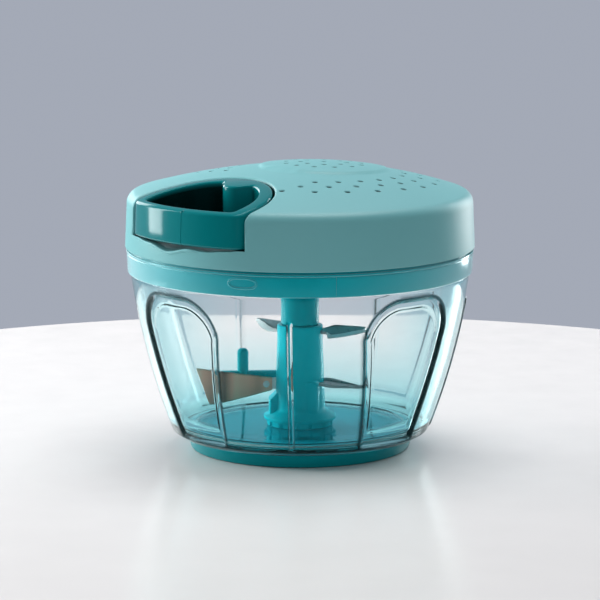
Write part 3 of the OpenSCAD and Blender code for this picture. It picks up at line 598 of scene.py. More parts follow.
def add_bump(tree, shader, height, strength, distance):
    """Lets a height stand out of the surface."""
    bump = add(tree, "ShaderNodeBump", Strength=strength, Distance=distance)
    tree.links.new(height, bump.inputs["Height"])
    tree.links.new(bump.outputs["Normal"], shader.inputs["Normal"])


def surface_group(tree, shader, name, place, **values):
    """A shared surface in a material: its inputs set by name, its gloss led to the shader."""
    surface = tree.nodes.new("ShaderNodeGroup")
    surface.node_tree = bpy.data.node_groups[name]
    for socket, value in values.items():
        surface.inputs[socket].default_value = value
    tree.links.new(place, surface.inputs["Place"])
    tree.links.new(surface.outputs["Roughness"], shader.inputs["Roughness"])
    return surface


def moulded(name, tint, roughness, grain=900.0, drift=0.1, bump=0.12, coat=0.0, deep=None, glint=None):
    """Opaque moulded plastic or rubber, with a painted-shade colour mixed in where the shade attribute marks
    hollows, and a coat on upright faces.
    """
    material, tree, shader = new_material(name)
    values = {"Colour": tint, "Grain": grain, "Drift": drift, "Roughness": roughness}
    surface = surface_group(tree, shader, "Moulded Surface", object_place(tree), **values)
    shown = surface.outputs["Colour"]
    # Painted shade: the deep colour is mixed in where the shade attribute marks it.
    if deep is not None:
        hollow = tree.nodes.new("ShaderNodeAttribute")
        hollow.attribute_name = "shade"
        shown = colour_mix(tree, hollow.outputs["Fac"], shown, deep)
    tree.links.new(shown, shader.inputs["Base Color"])
    add_bump(tree, shader, surface.outputs["Height"], bump, 0.0002)
    if glint is not None:
        shader.inputs["Specular Tint"].default_value = glint
    if coat > 0.0:
        facing = tree.nodes.new("ShaderNodeSeparateXYZ")
        tree.links.new(tree.nodes.new("ShaderNodeTexCoord").outputs["Normal"], facing.inputs["Vector"])
        upright = add(tree, "ShaderNodeMapRange", From_Min=0.3, From_Max=0.8, To_Min=coat, To_Max=0.0)
        tree.links.new(math_node(tree, "ABSOLUTE", facing.outputs["Z"]), upright.inputs["Value"])
        tree.links.new(upright.outputs["Result"], shader.inputs["Coat Weight"])
        shader.inputs["Coat Roughness"].default_value = 0.12
        shader.inputs["Specular IOR Level"].default_value = 0.15
    return material


def mark_shade(piece, shades):
    """Stores how much painted shade each point of a piece gets, from 0 to 1."""
    shade = piece.data.attributes.new("shade", "FLOAT", "POINT")
    shade.data.foreach_set("value", shades)


def brushed(name, tint, roughness, stretch, contrast=0.25, bands=0.2, bump=0.08, metallic=1.0):
    """Steel with fine lines along the direction that its stretch leaves long."""
    material, tree, shader = new_material(name)
    values = {"Colour": tint, "Contrast": contrast, "Bands": bands, "Roughness": roughness}
    surface = surface_group(tree, shader, "Brushed Lines", object_place(tree, stretch), **values)
    tree.links.new(surface.outputs["Colour"], shader.inputs["Base Color"])
    add_bump(tree, shader, surface.outputs["Height"], bump, 0.0001)
    shader.inputs["Metallic"].default_value = metallic
    return material


def let_lamps_through(tree, shader, tint):
    """Lets lamp light pass a clear shader, tinted, so that what is behind it is lit."""
    path = tree.nodes.new("ShaderNodeLightPath")
    clear = add(tree, "ShaderNodeBsdfTransparent", Color=tint)
    mix = tree.nodes.new("ShaderNodeMixShader")
    tree.links.new(path.outputs["Is Shadow Ray"], mix.inputs[0])
    tree.links.new(shader.outputs["BSDF"], mix.inputs[1])
    tree.links.new(clear.outputs["BSDF"], mix.inputs[2])
    tree.links.new(mix.outputs["Shader"], tree.nodes["Material Output"].inputs["Surface"])


def clear_plastic(name, colours):
    """Clear bowl plastic, deeper low down and at a slant, with painted shade where the mesh marks an edge."""
    material, tree, shader = new_material(name)
    place = object_place(tree)
    height = tree.nodes.new("ShaderNodeSeparateXYZ")
    tree.links.new(place, height.inputs["Vector"])
    low = add(tree, "ShaderNodeMapRange", From_Min=FOOT_TOP, From_Max=FOOT_TOP + 0.032, To_Min=0.75,
              To_Max=0.0)
    tree.links.new(height.outputs["Z"], low.inputs["Value"])
    slant = add(tree, "ShaderNodeLayerWeight", Blend=0.5)
    share = math_node(tree, "POWER", slant.outputs["Facing"], 1.2)
    share = math_node(tree, "MAXIMUM", share, low.outputs["Result"])
    # Painted shade where the mesh marks an edge, weaker on faces seen from behind.
    edge = tree.nodes.new("ShaderNodeAttribute")
    edge.attribute_name = "painted_edge_shade"
    behind = tree.nodes.new("ShaderNodeNewGeometry").outputs["Backfacing"]
    near = math_node(tree, "SUBTRACT", 1.0, math_node(tree, "MULTIPLY", behind, 0.85))
    tint = colour_mix(tree, share, colours.clear, colours.clear_side)
    tint = colour_mix(tree, math_node(tree, "MULTIPLY", edge.outputs["Fac"], near), tint, colours.clear_edge_painted_shade)
    tree.links.new(tint, shader.inputs["Base Color"])
    haze = add(tree, "ShaderNodeTexNoise", Scale=60.0, Detail=3.0)
    tree.links.new(place, haze.inputs["Vector"])
    tree.links.new(math_node(tree, "MULTIPLY", haze.outputs["Fac"], 0.06), shader.inputs["Roughness"])
    shader.inputs["Transmission Weight"].default_value = 1.0
    shader.inputs["IOR"].default_value = 1.42
    shader.inputs["Specular Tint"].default_value = (0.12, 0.7, 0.78, 1.0)
    let_lamps_through(tree, shader, colours.clear)
    return material


def collar_plastic(name, colours):
    """Glossy plastic that lets part of the light through, with a painted sheen mixed into its colour where it
    is seen at a slant.
    """
    material, tree, shader = new_material(name)
    values = {"Grain": 400.0, "Drift": 0.08, "Roughness": 0.12}
    surface = surface_group(tree, shader, "Moulded Surface", object_place(tree), **values)
    # Painted sheen: paler colour toward a slant.
    slant = add(tree, "ShaderNodeLayerWeight", Blend=0.5)
    share = math_node(tree, "POWER", slant.outputs["Facing"], 1.15)
    tree.links.new(colour_mix(tree, share, colours.collar, colours.collar_painted_sheen), surface.inputs["Colour"])
    tree.links.new(surface.outputs["Colour"], shader.inputs["Base Color"])
    shader.inputs["Transmission Weight"].default_value = 0.3
    shader.inputs["IOR"].default_value = 1.45
    shader.inputs["Specular Tint"].default_value = (0.2, 0.85, 0.92, 1.0)
    let_lamps_through(tree, shader, (0.10, 0.45, 0.47, 1.0))
    return material


def cord_fibre(name, tint):
    """Braided cord: two sets of strands that cross round the tube."""
    material, tree, shader = new_material(name)
    place = tree.nodes.new("ShaderNodeUVMap").outputs["UV"]
    heights = []
    for lean in (9.0, -9.0):
        turned = (0.0, 0.0, math.radians(lean))
        mapping = add(tree, "ShaderNodeMapping", Scale=(6.0, 60.0, 1.0), Rotation=turned)
        tree.links.new(place, mapping.inputs["Vector"])
        strands = add(tree, "ShaderNodeTexWave", Scale=1.0, Distortion=0.6, Detail=1.0)
        tree.links.new(mapping.outputs["Vector"], strands.inputs["Vector"])
        heights.append(strands.outputs["Fac"])
    height = math_node(tree, "MAXIMUM", *heights)
    tone = add(tree, "ShaderNodeHueSaturation", Color=tint)
    light = math_node(tree, "ADD", math_node(tree, "MULTIPLY", height, 0.35), 0.7)
    tree.links.new(light, tone.inputs["Value"])
    tree.links.new(tone.outputs["Color"], shader.inputs["Base Color"])
    add_bump(tree, shader, height, 0.5, 0.0002)
    shader.inputs["Roughness"].default_value = 0.75
    return material


# Pieces


def wall_arc(b):
    """Radius and height of the centre of the bowl wall's arc, and the arc's radius."""
    run, rise = b.shoulder_r - b.underside_r, BAND_LOW - FOOT_TOP
    lean = math.atan2(run, rise)
    radius = ((run * run + rise * rise) / 4 + b.bulge * b.bulge) / (2 * b.bulge)
    middle_r = (b.shoulder_r + b.underside_r) / 2 - (radius - b.bulge) * math.cos(lean)
    middle_z = (FOOT_TOP + BAND_LOW) / 2 + (radius - b.bulge) * math.sin(lean)
    return middle_r, middle_z, radius


def wall_r(arc, z, inset=0.0):
    """Radius of the bowl wall at a height, moved in by an inset."""
    return arc[0] + math.sqrt((arc[2] - inset) ** 2 - (z - arc[1]) ** 2)


def bowl_section(b, arc):
    """Half section of the bowl: underside, outer wall, neck, inner wall and floor."""
    panel_top = BAND_LOW - b.panel_drop
    arch_low = panel_top - b.panel_corner - 0.002
    floor_z = FOOT_TOP + b.floor_t
    neck_r = b.shoulder_r - b.neck_step
    neck_in = neck_r - b.neck_wall
    under = rounded([
        (0.0, FOOT_TOP, 0.0),
        (0.02, FOOT_TOP, 0.0),
        (b.underside_r - b.edge, FOOT_TOP, 0.0007),
        (wall_r(arc, EDGE_Z), EDGE_Z, 0.0007),
        (wall_r(arc, EDGE_Z + 0.0016), EDGE_Z + 0.0016, 0.0),
    ])
    levels = along(EDGE_Z + 0.0016, arch_low, 0.0018)[1:]
    levels += along(arch_low, panel_top + 0.0015, 0.00045)[1:]
    levels += along(panel_top + 0.0015, BAND_LOW - 0.001, 0.001)[1:]
    outer = [(wall_r(arc, z), z) for z in levels]
    neck = rounded([
        outer[-1] + (0.0,),
        (b.shoulder_r, BAND_LOW, 0.0004),
        (neck_r, BAND_LOW, 0.0003),
        (neck_r, NECK_TOP, 0.0006),
        (neck_in, NECK_TOP, 0.0006),
        (neck_in, BAND_LOW + 0.0026, 0.0012),
        (wall_r(arc, BAND_LOW - 0.0008, b.wall), BAND_LOW - 0.0008, 0.0),
    ])[1:]
    corner_z = floor_z + b.corner_r
    levels = along(BAND_LOW - 0.0008, panel_top, 0.0008)[1:]
    levels += along(panel_top, arch_low - 0.002, 0.00045)[1:]
    levels += along(arch_low - 0.002, corner_z + 0.001, 0.0018)[1:]
    inner = [(wall_r(arc, z, b.wall), z) for z in levels]
    corner_r = wall_r(arc, corner_z, b.wall) - b.corner_r
    turns = [math.radians(a) for a in range(0, -91, -9)]
    corner = [(corner_r + b.corner_r * math.cos(a), corner_z + b.corner_r * math.sin(a)) for a in turns]
    bead = [(b.bead_r + x, floor_z + 0.0005 * swell(x / 0.0012)) for x in along(0.0012, -0.0012, 0.0003)]
    floor = [(0.03, floor_z), (0.016, floor_z), (0.0, floor_z)]
    return under + outer + neck + inner + corner + bead + floor


def panel_side(b, z):
    """Half the width of an arched panel at a height below its rounded corners."""
    corner_z = BAND_LOW - b.panel_drop - b.panel_corner
    return b.panel_foot + (b.panel_half_w - b.panel_foot) * min(z / corner_z, 1.0)


def panel_column(share, r, side, b):
    """Angle from a panel's middle for a share of the way to the rib: close steps at panel edge and rib."""
    flat, near = max(side - b.panel_corner, 0.001), side + 0.0016
    edge, rib = math.asin(near / r), math.radians(45.0 - RIB_SPAN)
    if share < FLAT_SHARE:
        return math.asin(flat * share / FLAT_SHARE / r)
    if share < EDGE_SHARE:
        return math.asin((flat + (near - flat) * (share - FLAT_SHARE) / (EDGE_SHARE - FLAT_SHARE)) / r)
    if share < RIB_SHARE:
        return edge + (rib - edge) * (share - EDGE_SHARE) / (RIB_SHARE - EDGE_SHARE)
    return rib + math.radians(RIB_SPAN) * (share - RIB_SHARE) / (1.0 - RIB_SHARE)


def arch_distance(b, across, z, inset):
    """Distance of a point on the wall outside a panel's line moved in by an inset, negative inside."""
    corner = b.panel_corner - inset / 2
    rise = z - (BAND_LOW - b.panel_drop - inset - corner)
    x = abs(across)
    if rise > 0.0:
        return math.hypot(max(x - b.panel_half_w + inset + corner, 0.0), rise) - corner
    return x - panel_side(b, z) + inset


def press_panels(bowl, b, arc):
    """Presses the arched panels and ribs into a turned bowl, and marks where painted shade darkens its edges.
    """
    quarter = math.pi / 2
    first = math.radians(b.panel_az)
    marks = []
    for vertex in bowl.data.vertices:
        x, y, z = vertex.co
        r = math.hypot(x, y)
        turn = math.atan2(y, x) - first
        middle = round(turn / quarter) * quarter
        share = (turn - middle) / (quarter / 2)
        side = panel_side(b, z)
        angle = math.copysign(panel_column(min(abs(share), 1.0), max(r, 0.03), side, b), share)
        across = r * math.sin(angle)
        depth, mark = 0.0, 0.0
        skin = r - wall_r(arc, min(z, BAND_LOW))
        on_wall = EDGE_Z - 0.0004 < z < BAND_LOW - 0.0005
        if on_wall and skin > -b.wall / 2:
            off = arch_distance(b, across, z, 0.0)
            low = ease((z - EDGE_Z) / 0.0016)
            depth = -b.panel_depth * ease(0.5 - off / b.panel_slope) * low
            aside = (quarter / 2 - abs(angle)) * r / (b.rib_w / 2)
            under = ease((BAND_LOW - b.rib_drop - z) / 0.0012)
            depth += b.rib_h * math.sqrt(max(0.0, 1.0 - aside * aside)) * under * low
            # Painted shade: dark lines along panel edges, beside the ribs and along the lower edge.
            mark = ease((b.line_w / 2 + 0.0002 - abs(off - b.line_out)) / 0.0004)
            mark = max(mark, 0.7 * under * ease((0.45 - abs(aside - 1.0)) / 0.3))
            mark = max(mark, ease((0.0014 - abs(z - EDGE_Z)) / 0.0008))
        elif on_wall and skin > -1.5 * b.wall and z > FOOT_TOP + b.floor_t + b.corner_r:
            off = arch_distance(b, across, z, b.inner_inset)
            depth = -b.inner_depth * ease(0.5 - off / 0.0012)
        out = Vector((r - arc[0], z - arc[1])).normalized() * depth
        angle += middle + first
        vertex.co = ((r + out.x) * math.cos(angle), (r + out.x) * math.sin(angle), z + out.y)
        marks.append(mark)
    tint = bowl.data.attributes.new("painted_edge_shade", "FLOAT", "POINT")
    tint.data.foreach_set("value", marks)


class CHOPPER_OT_bowl(Operator):
    """Turn the clear bowl and press in its panels and ribs"""

    bl_idname = "chopper.bowl"
    bl_label = "Clear Bowl"

    def execute(self, context):
        b = context.scene.chopper_bowl
        arc = wall_arc(b)
        bowl = lathe("clear_bowl", bowl_section(b, arc), steps=480)
        press_panels(bowl, b, arc)
        settle(bowl, "base", ["bowl"], "Clear Bowl Plastic", smooth=50.0)
        return {"FINISHED"}


class CHOPPER_OT_foot(Operator):
    """Turn the non-slip foot with its tread grooves"""

    bl_idname = "chopper.foot"
    bl_label = "Foot"

    def execute(self, context):
        f = context.scene.chopper_foot
        top = FOOT_TOP - 0.00012
        tread = [(0.0, 0.0)]
        for r in (0.012, 0.020, 0.028, 0.035):
            tread += [(r - 0.0012, 0.0), (r - 0.0006, 0.0006), (r + 0.0006, 0.0006), (r + 0.0012, 0.0)]
        side = rounded([
            (0.0375, 0.0, 0.0),
            (f.table_r, 0.0, f.edge),
            (f.top_r, top, 0.0004),
            (0.0405, top, 0.0003),
            (0.0400, top - 0.0006, 0.0003),
            (0.0388, top - 0.0006, 0.0003),
            (0.0383, top, 0.0003),
            (0.0, top, 0.0),
        ])
        foot = lathe("foot", tread + side)
        settle(foot, "base", ["base_pad"], "Foot Rubber")
        # The upward faces of the foot's top get painted light: a lighter copy of its rubber.
        foot.data.materials.append(bpy.data.materials["Foot Top Painted Light"])
        for face in foot.data.polygons:
            if face.normal.z > 0.4 and face.center.z > top - 0.001:
                face.material_index = 1
        return {"FINISHED"}


class CHOPPER_OT_collar(Operator):
    """Turn the collar with its plate and raise the oval mark on its band"""

    bl_idname = "chopper.collar"
    bl_label = "Collar"

    def execute(self, context):
        c = context.scene.chopper_collar
        plate_z = BAND_TOP - c.plate_t
        groove_z = BAND_TOP - 0.0017
        section = rounded([
            (c.inner_r, (BAND_LOW + plate_z) / 2, 0.0),
            (c.inner_r, BAND_LOW, 0.0003),
            (c.low_r, BAND_LOW, c.edge),
            (c.top_r - 0.0001, groove_z - 0.0003, 0.0001),
            (c.top_r - 0.00035, groove_z, 0.0001),
            (c.top_r, groove_z + 0.0003, 0.0001),
            (c.top_r, BAND_TOP - 0.0008, 0.0003),
            (c.top_r - 0.0012, BAND_TOP - 0.0008, 0.0),
            (c.top_r - 0.0012, BAND_TOP, 0.0),
            (c.bore_r, BAND_TOP, 0.0002),
            (c.bore_r, plate_z, 0.0002),
            (c.inner_r, plate_z, 0.0005),
            (c.inner_r, (BAND_LOW + plate_z) / 2, 0.0),
        ])
        collar = lathe("collar", section, steps=256)
        half = ((c.mark_len - c.mark_line) / 2, (c.mark_tall - c.mark_line) / 2)
        oval = []
        for a in [math.tau * i / 64 for i in range(64)]:
            spoke = (math.cos(a), math.sin(a))
            oval.append(tuple(h * math.copysign(abs(s) ** 0.8, s) for h, s in zip(half, spoke)))
        band_r = (c.low_r + c.top_r) / 2
        mark_z = BAND_LOW + 0.52 * (BAND_TOP - BAND_LOW)
        path = []
        for across, up in oval:
            spot = toward(c.mark_az + math.degrees(across / band_r), band_r)
            path.append(Vector((spot.x, spot.y, mark_z + up)))
        mark = loft("oval_mark", tube(path, c.mark_line / 2, sides=8, loop=True))
        seam = []
        for z in (BAND_LOW + 0.0006, BAND_TOP - 0.0016):
            corners = [(-0.00015, -0.0004), (0.0, 0.00022), (0.00015, -0.0004)]
            wall = c.low_r + (c.top_r - c.low_r) * (z - BAND_LOW) / (BAND_TOP - BAND_LOW)
            seam.append([beside(c.seam_az, wall + out, side, z) for side, out in corners])
        join(collar, mark, loft("band_seam", seam, caps=True))
        settle(collar, "lid", ["lid_collar"], "Collar Plastic")
        return {"FINISHED"}


def dome(c):
    """Radius of the cover's dome and the height of its centre."""
    radius = (c.top_r ** 2 + c.dome_rise ** 2) / (2 * c.dome_rise)
    return radius, COVER_LOW + c.side_h + c.dome_rise - radius


def dome_z(c, r):
    """Height of the dome at a distance from the axis."""
    radius, centre = dome(c)
    return centre + math.sqrt(radius * radius - r * r)


def shoulder_at(c):
    """Radius and height of the centre of the cover's rounded shoulder."""
    radius, centre = dome(c)
    r = c.top_r - c.shoulder
    return r, centre + math.sqrt((radius - c.shoulder) ** 2 - r * r)


def dome_lift(c, x, y):
    """How far the dome stands over its even shape: up behind the axis and down toward the handle."""
    radius = dome(c)[0]
    share = min(math.hypot(x, y) / (c.top_r - c.shoulder), 1.0)
    return c.dome_back / radius * y * (1.0 - share ** 2)


def lid_z(c, x, y):
    """Height of the dome at a plan point."""
    return dome_z(c, min(math.hypot(x, y), c.top_r)) + dome_lift(c, x, y)


def cover_z(c, x, y):
    """Height of the cover's outside at a plan point, over dome and shoulder."""
    centre_r, centre_z = shoulder_at(c)
    radius = dome(c)[0]
    r = math.hypot(x, y)
    if r < centre_r * radius / (radius - c.shoulder):
        return lid_z(c, x, y)
    return centre_z + math.sqrt(max(0.0, c.shoulder ** 2 - (r - centre_r) ** 2))


def cover_section(c, inset, low):
    """Half section of the cover's outside moved in by an inset, over dome, shoulder and side."""
    radius, centre = dome(c)
    centre_r, centre_z = shoulder_at(c)
    lean = math.asin(centre_r / (radius - c.shoulder))
    reach = (radius - inset) * math.sin(lean)
    rings = [0.0, 0.004, 0.008, 0.012] + along(0.014, 0.034, 0.0008) + along(0.034, reach, 0.0015)[1:]
    section = [(r, centre + math.sqrt((radius - inset) ** 2 - r * r)) for r in rings]
    for a in along(lean, math.pi / 2, math.radians(7.0))[1:]:
        arm = c.shoulder - inset
        section.append((centre_r + arm * math.sin(a), centre_z + arm * math.cos(a)))
    section.append((c.low_r - inset, low))
    return section


def notch_plan(c, h, grow):
    """Plan of the handle's notch grown by a distance: from right mouth round the back to left mouth."""
    r = h.loop_r + c.notch_gap
    middle = -h.back - h.loop_r
    fillet = 0.0006
    centre_x = r + fillet
    side_r = (c.low_r + 2 * c.top_r) / 3
    centre_y = -math.sqrt((side_r - fillet) ** 2 - centre_x ** 2)
    mouth = math.pi * 1.5 + math.atan2(centre_x, -centre_y)
    outward = Vector((math.cos(mouth), math.sin(mouth)))
    end = Vector((centre_x, centre_y)) + fillet * outward
    right = [(r + 0.008, -0.075), tuple(end + 0.004 * outward)]
    for a in along(mouth, math.pi, math.radians(15.0)):
        right.append((centre_x + fillet * math.cos(a), centre_y + fillet * math.sin(a)))
    right += [(r, y) for y in along(centre_y, middle, 0.0008)[1:-1]]
    half = [(r * math.cos(a), middle + r * math.sin(a)) for a in along(0.0, math.pi / 2, math.radians(2.0))]
    plan = [(x + grow, y) for x, y in right]
    plan += [(x * (r + grow) / r, middle + (y - middle) * (r + grow) / r) for x, y in half]
    return plan + [(-x, y) for x, y in reversed(plan[:-1])]


def notch_tool(c, h, floor_z):
    """The room of the notch, with a lip that rolls over onto the dome."""
    rings = [[(x, y, floor_z) for x, y in notch_plan(c, h, 0.0)]]
    for a in [math.radians(12.0 * i) for i in range(8)]:
        ring = []
        for x, y in notch_plan(c, h, c.lip * (1.0 - math.cos(a))):
            near = min(1.0, (c.top_r - 0.0002) / math.hypot(x, y))
            top = cover_z(c, x * near, y * near)
            ring.append((x, y, top - c.lip * (1.0 - math.sin(a))))
        rings.append(ring)
    rings.append([(x, y, z + 0.0015) for x, y, z in rings[-1]])
    rings.append([(x, y, TOOL_TOP) for x, y, z in rings[-1]])
    return loft("notch", rings, caps=True)


def scoop_dip(x):
    """Depth of the finger hollow's wavy line at a distance from the middle."""
    dip = 0.0009 + 0.0019 * swell((x + 0.003) / 0.0105) + 0.0007 * swell((x - 0.015) / 0.008)
    return dip * ease((x - SCOOP_LEFT) / 0.008) * ease((SCOOP_RIGHT - x) / 0.003)


def scoop_z(floor_z, x, out):
    """Height of the finger hollow at a distance from the middle and out from the axis."""
    share = (out - 0.052) / 0.012
    return floor_z - scoop_dip(x) * share * (0.6 + 0.4 * share) - 0.00002


def scoop_tool(floor_z):
    """The shallow finger hollow in the front edge of the notch's floor, with a wave in its line."""
    rings = []
    for out in (0.052, 0.054, 0.056, 0.058, 0.060, 0.062, 0.064, 0.066):
        low = [(x, -out, scoop_z(floor_z, x, out)) for x in along(SCOOP_LEFT, SCOOP_RIGHT, 0.0012)]
        rings.append(low + [(x, y, floor_z + 0.001) for x, y, z in reversed(low)])
    return loft("finger_scoop", rings, caps=True)


def side_r(c, z):
    """Radius of the cover's side at a height."""
    return c.low_r - (c.low_r - c.top_r) * (z - COVER_LOW) / c.side_h


def scoop_bead(c, floor_z):
    """The soft crest along the hollow's lower line."""
    path = []
    for x in along(-0.018, 0.014, 0.001):
        level = scoop_z(floor_z, x, 0.0635) - 0.0004
        shown = ease((x + 0.018) / 0.006) * ease((0.014 - x) / 0.006)
        r = side_r(c, level) - 0.00025 - 0.0006 * (1.0 - shown)
        path.append(Vector((x, -math.sqrt(r * r - x * x), level)))
    return loft("scoop_crest", tube(path, 0.0006, sides=16), caps=True)


def pad_lift(c, x, y):
    """How far the palm pad stands out of the dome at a plan point: a rim and a low crown."""
    off = math.hypot(x, y - c.pad_back)
    crown = max(0.0, 1.0 - (off / c.pad_r) ** 2)
    return c.pad_rise * (0.9 * ease(0.5 - (off - c.pad_r) / c.pad_slope) + 0.3 * crown)


def dimple_places(c):
    """Plan points of all the dimples: rows round the pad and rings on it."""
    places = []
    for az in range(44, 315, 15):
        for row in range(3):
            spot = toward(az - 7.5 * row, c.dimple_row_r + row * c.dimple_row_gap)
            places.append((spot.x, spot.y + c.dimple_back))
    for r, count in ((0.0, 1), (0.0085, 8), (0.0142, 12)):
        for i in range(count):
            spot = toward(i * 360 / count, r)
            places.append((spot.x, spot.y + c.pad_back))
    return places


def dimple_tool(c):
    """Pins for all the dimples: one rounded pin, copied to every place."""
    places = dimple_places(c)
    tool = lathe("dimple_pins", [
        (0.0, -c.dimple_deep),
        (0.6 * c.dimple_r, -0.85 * c.dimple_deep),
        (0.9 * c.dimple_r, -0.45 * c.dimple_deep),
        (c.dimple_r, -0.00015),
        (1.3 * c.dimple_r, 0.0001),
        (0.0, 0.0012),
    ], steps=14)
    pick(tool)
    bpy.ops.object.mode_set(mode="EDIT")
    bpy.ops.mesh.select_all(action="SELECT")
    at = Vector((0, 0, 0))
    for x, y in places:
        spot = Vector((x, y, lid_z(c, x, y) + pad_lift(c, x, y)))
        bpy.ops.transform.translate(value=spot - at)
        at = spot
        if (x, y) != places[-1]:
            bpy.ops.mesh.duplicate()
    bpy.ops.object.mode_set(mode="OBJECT")
    return tool


def paint_cover(cover, c, h, floor_z):
    """Paints shade into notch and dimples with the dark painted-shade material, and paints shade into the
    finger hollow.
    """
    cover.data.materials.append(bpy.data.materials["Painted Recess Shade"])
    reach = max(y for x, y in notch_plan(c, h, 0.0))
    dimples = dimple_places(c)
    for face in cover.data.polygons:
        x, y, z = face.center
        # Notch floor and walls get the painted-shade material.
        flat = abs(z - floor_z) < 0.0002 and -c.top_r + 0.005 < y < reach
        wall = floor_z < z < cover_z(c, x, y) - c.lip and math.hypot(x, y) < c.top_r - 0.002
        if y < -h.back + 0.002 and abs(x) < h.loop_r + 0.002 and (flat or wall):
            face.material_index = 1
        # The dimples' insides get the painted-shade material too.
        sunk = lid_z(c, x, y) + pad_lift(c, x, y) - z > 0.00025 and z > COVER_LOW + c.side_h
        if sunk and any(math.hypot(x - u, y - v) < c.dimple_r for u, v in dimples):
            face.material_index = 1
    # Painted shade in the finger hollow, darkest toward the handle.
    shades = []
    for vertex in cover.data.vertices:
        x, y, z = vertex.co
        in_front = SCOOP_LEFT < x < SCOOP_RIGHT and y < -0.05
        on_scoop = in_front and abs(z - scoop_z(floor_z, x, -y)) < 0.0002
        shades.append(0.97 * ease((0.0636 - math.hypot(x, y)) / 0.0024) if on_scoop else 0.0)
    mark_shade(cover, shades)


class CHOPPER_OT_cover(Operator):
    """Turn the domed cover, raise its palm pad and cut notch, finger scoop and dimples"""

    bl_idname = "chopper.cover"
    bl_label = "Cover"

    def execute(self, context):
        c, h = context.scene.chopper_cover, context.scene.chopper_handle
        floor_z = COVER_LOW + c.floor_h
        section = cover_section(c, 0.0, COVER_LOW)
        foot = rounded([section[-2] + (0.0,), (c.low_r, COVER_LOW, 0.0005), (0.05, COVER_LOW, 0.0)])[1:]
        cover = lathe("cover", section[:-1] + foot + [(0.0, COVER_LOW)], steps=256)
        for vertex in cover.data.vertices:
            x, y, z = vertex.co
            if z > COVER_LOW + c.side_h - c.shoulder:
                vertex.co.z += dome_lift(c, x, y) + pad_lift(c, x, y)
        room = lathe("room", cover_section(c, c.wall, COVER_LOW - 0.001) + [(0.0, COVER_LOW - 0.001)])
        grown = notch_plan(c, h, c.notch_wall)
        pocket = [[(x, y, z) for x, y in grown] for z in (floor_z - c.floor_t, TOOL_TOP)]
        combine(room, loft("pocket", pocket, caps=True), "DIFFERENCE")
        combine(cover, room, "DIFFERENCE")
        combine(cover, scoop_tool(floor_z), "DIFFERENCE")
        combine(cover, scoop_bead(c, floor_z), "UNION")
        combine(cover, notch_tool(c, h, floor_z), "DIFFERENCE")
        combine(cover, dimple_tool(c), "DIFFERENCE")
        settle(cover, "lid", ["lid_cover"], "Satin Lid Plastic")
        paint_cover(cover, c, h, floor_z)
        return {"FINISHED"}


def star_outline(points, centre, angles, soften):
    """Distances from a centre to a closed outline at angles, with its corners softened over an angle."""
    spokes = np.array([(x - centre[0], y - centre[1]) for x, y in points])
    even = np.linspace(-math.pi, math.pi, 1440, endpoint=False)
    reach = np.interp(even, np.arctan2(spokes[:, 1], spokes[:, 0]), np.hypot(*spokes.T), period=math.tau)
    spread = int(round(3 * soften / math.tau * 1440))
    weights = [math.exp(-0.5 * (3 * i / max(spread, 1)) ** 2) for i in range(-spread, spread + 1)]
    soft = sum(w * np.roll(reach, i) for w, i in zip(weights, range(-spread, spread + 1))) / sum(weights)
    return np.interp(angles, even, soft, period=math.tau)


def outline_ring(base, offset):
    """A closed outline moved outward by an offset along its normals."""
    count = len(base)
    ring = []
    for i, point in enumerate(base):
        run = base[(i + 1) % count] - base[i - 1]
        ring.append(point + Vector((run.y, -run.x)).normalized() * offset)
    return ring


def spread(centre, angles, reach):
    """Plan points at angles and distances round a centre."""
    return [Vector((centre[0] + d * math.cos(a), centre[1] + d * math.sin(a))) for a, d in zip(angles, reach)]


def loop_plan(c, h):
    """Plan of the handle's outside: its round back and the front that follows the lid's side."""
    middle = -h.back - h.loop_r
    back = [math.radians(a) for a in range(0, 181, 2)]
    front = math.degrees(math.asin(h.loop_r / c.low_r))
    plan = [(h.loop_r * math.cos(a), middle + h.loop_r * math.sin(a)) for a in back]
    return plan + [tuple(toward(az, c.low_r)) for az in along(-front, front, 1.0)]


def hole_plan(c, h):
    """Plan of the finger hole, with the cord boss standing into its back."""
    middle = -h.back - h.loop_r
    hole_r, grip_r = h.loop_r - h.rim, c.low_r - h.grip_t
    front = math.degrees(math.asin(hole_r / grip_r))
    boss_y = -h.back - h.boss_out
    hole = []
    for a in [math.radians(a) for a in range(0, 181, 2)]:
        x, y = hole_r * math.cos(a), middle + hole_r * math.sin(a)
        if math.hypot(x, y - boss_y) > h.boss_r:
            hole.append((x, y))
    for a in [math.radians(-170 + 5 * i) for i in range(33)]:
        x, y = h.boss_r * math.cos(a), boss_y + h.boss_r * math.sin(a)
        if math.hypot(x, y - middle) < hole_r:
            hole.append((x, y))
    return hole + [tuple(toward(az, grip_r)) for az in along(-front, front, 1.0)]


def handle_ring(c, base, offset, level=None, drop=0.0):
    """Ring round the handle at a level, or below the dome by a drop; its front leans with the lid's side."""
    points = []
    for p in outline_ring(base, offset):
        z = level if level is not None else lid_z(c, p.x, p.y) - drop
        front_share = ease((p.length - 0.058) / 0.005)
        lean = (c.low_r - c.top_r) * (z - COVER_LOW) / c.side_h / c.low_r
        points.append((p.x * (1 - front_share * lean), p.y * (1 - front_share * lean), z))
    return points


def shade_hole(handle, c, h):
    """Paints shade into the finger hole below its upper edge: full on its left, half on its right, little on
    the boss.
    """
    shades = []
    for vertex in handle.data.vertices:
        x, y, z = vertex.co
        inward = vertex.normal.x * (x - LOOP_EYE[0]) + vertex.normal.y * (y - LOOP_EYE[1]) < 0.0
        side = ease((-x - 0.001) / h.boss_r) + 0.5 * ease((x - h.boss_r) / 0.002)
        deep = ease((lid_z(c, x, y) - 0.6 * h.inner_edge - z) / 0.001)
        shades.append(side * deep if inward else 0.0)
    mark_shade(handle, shades)


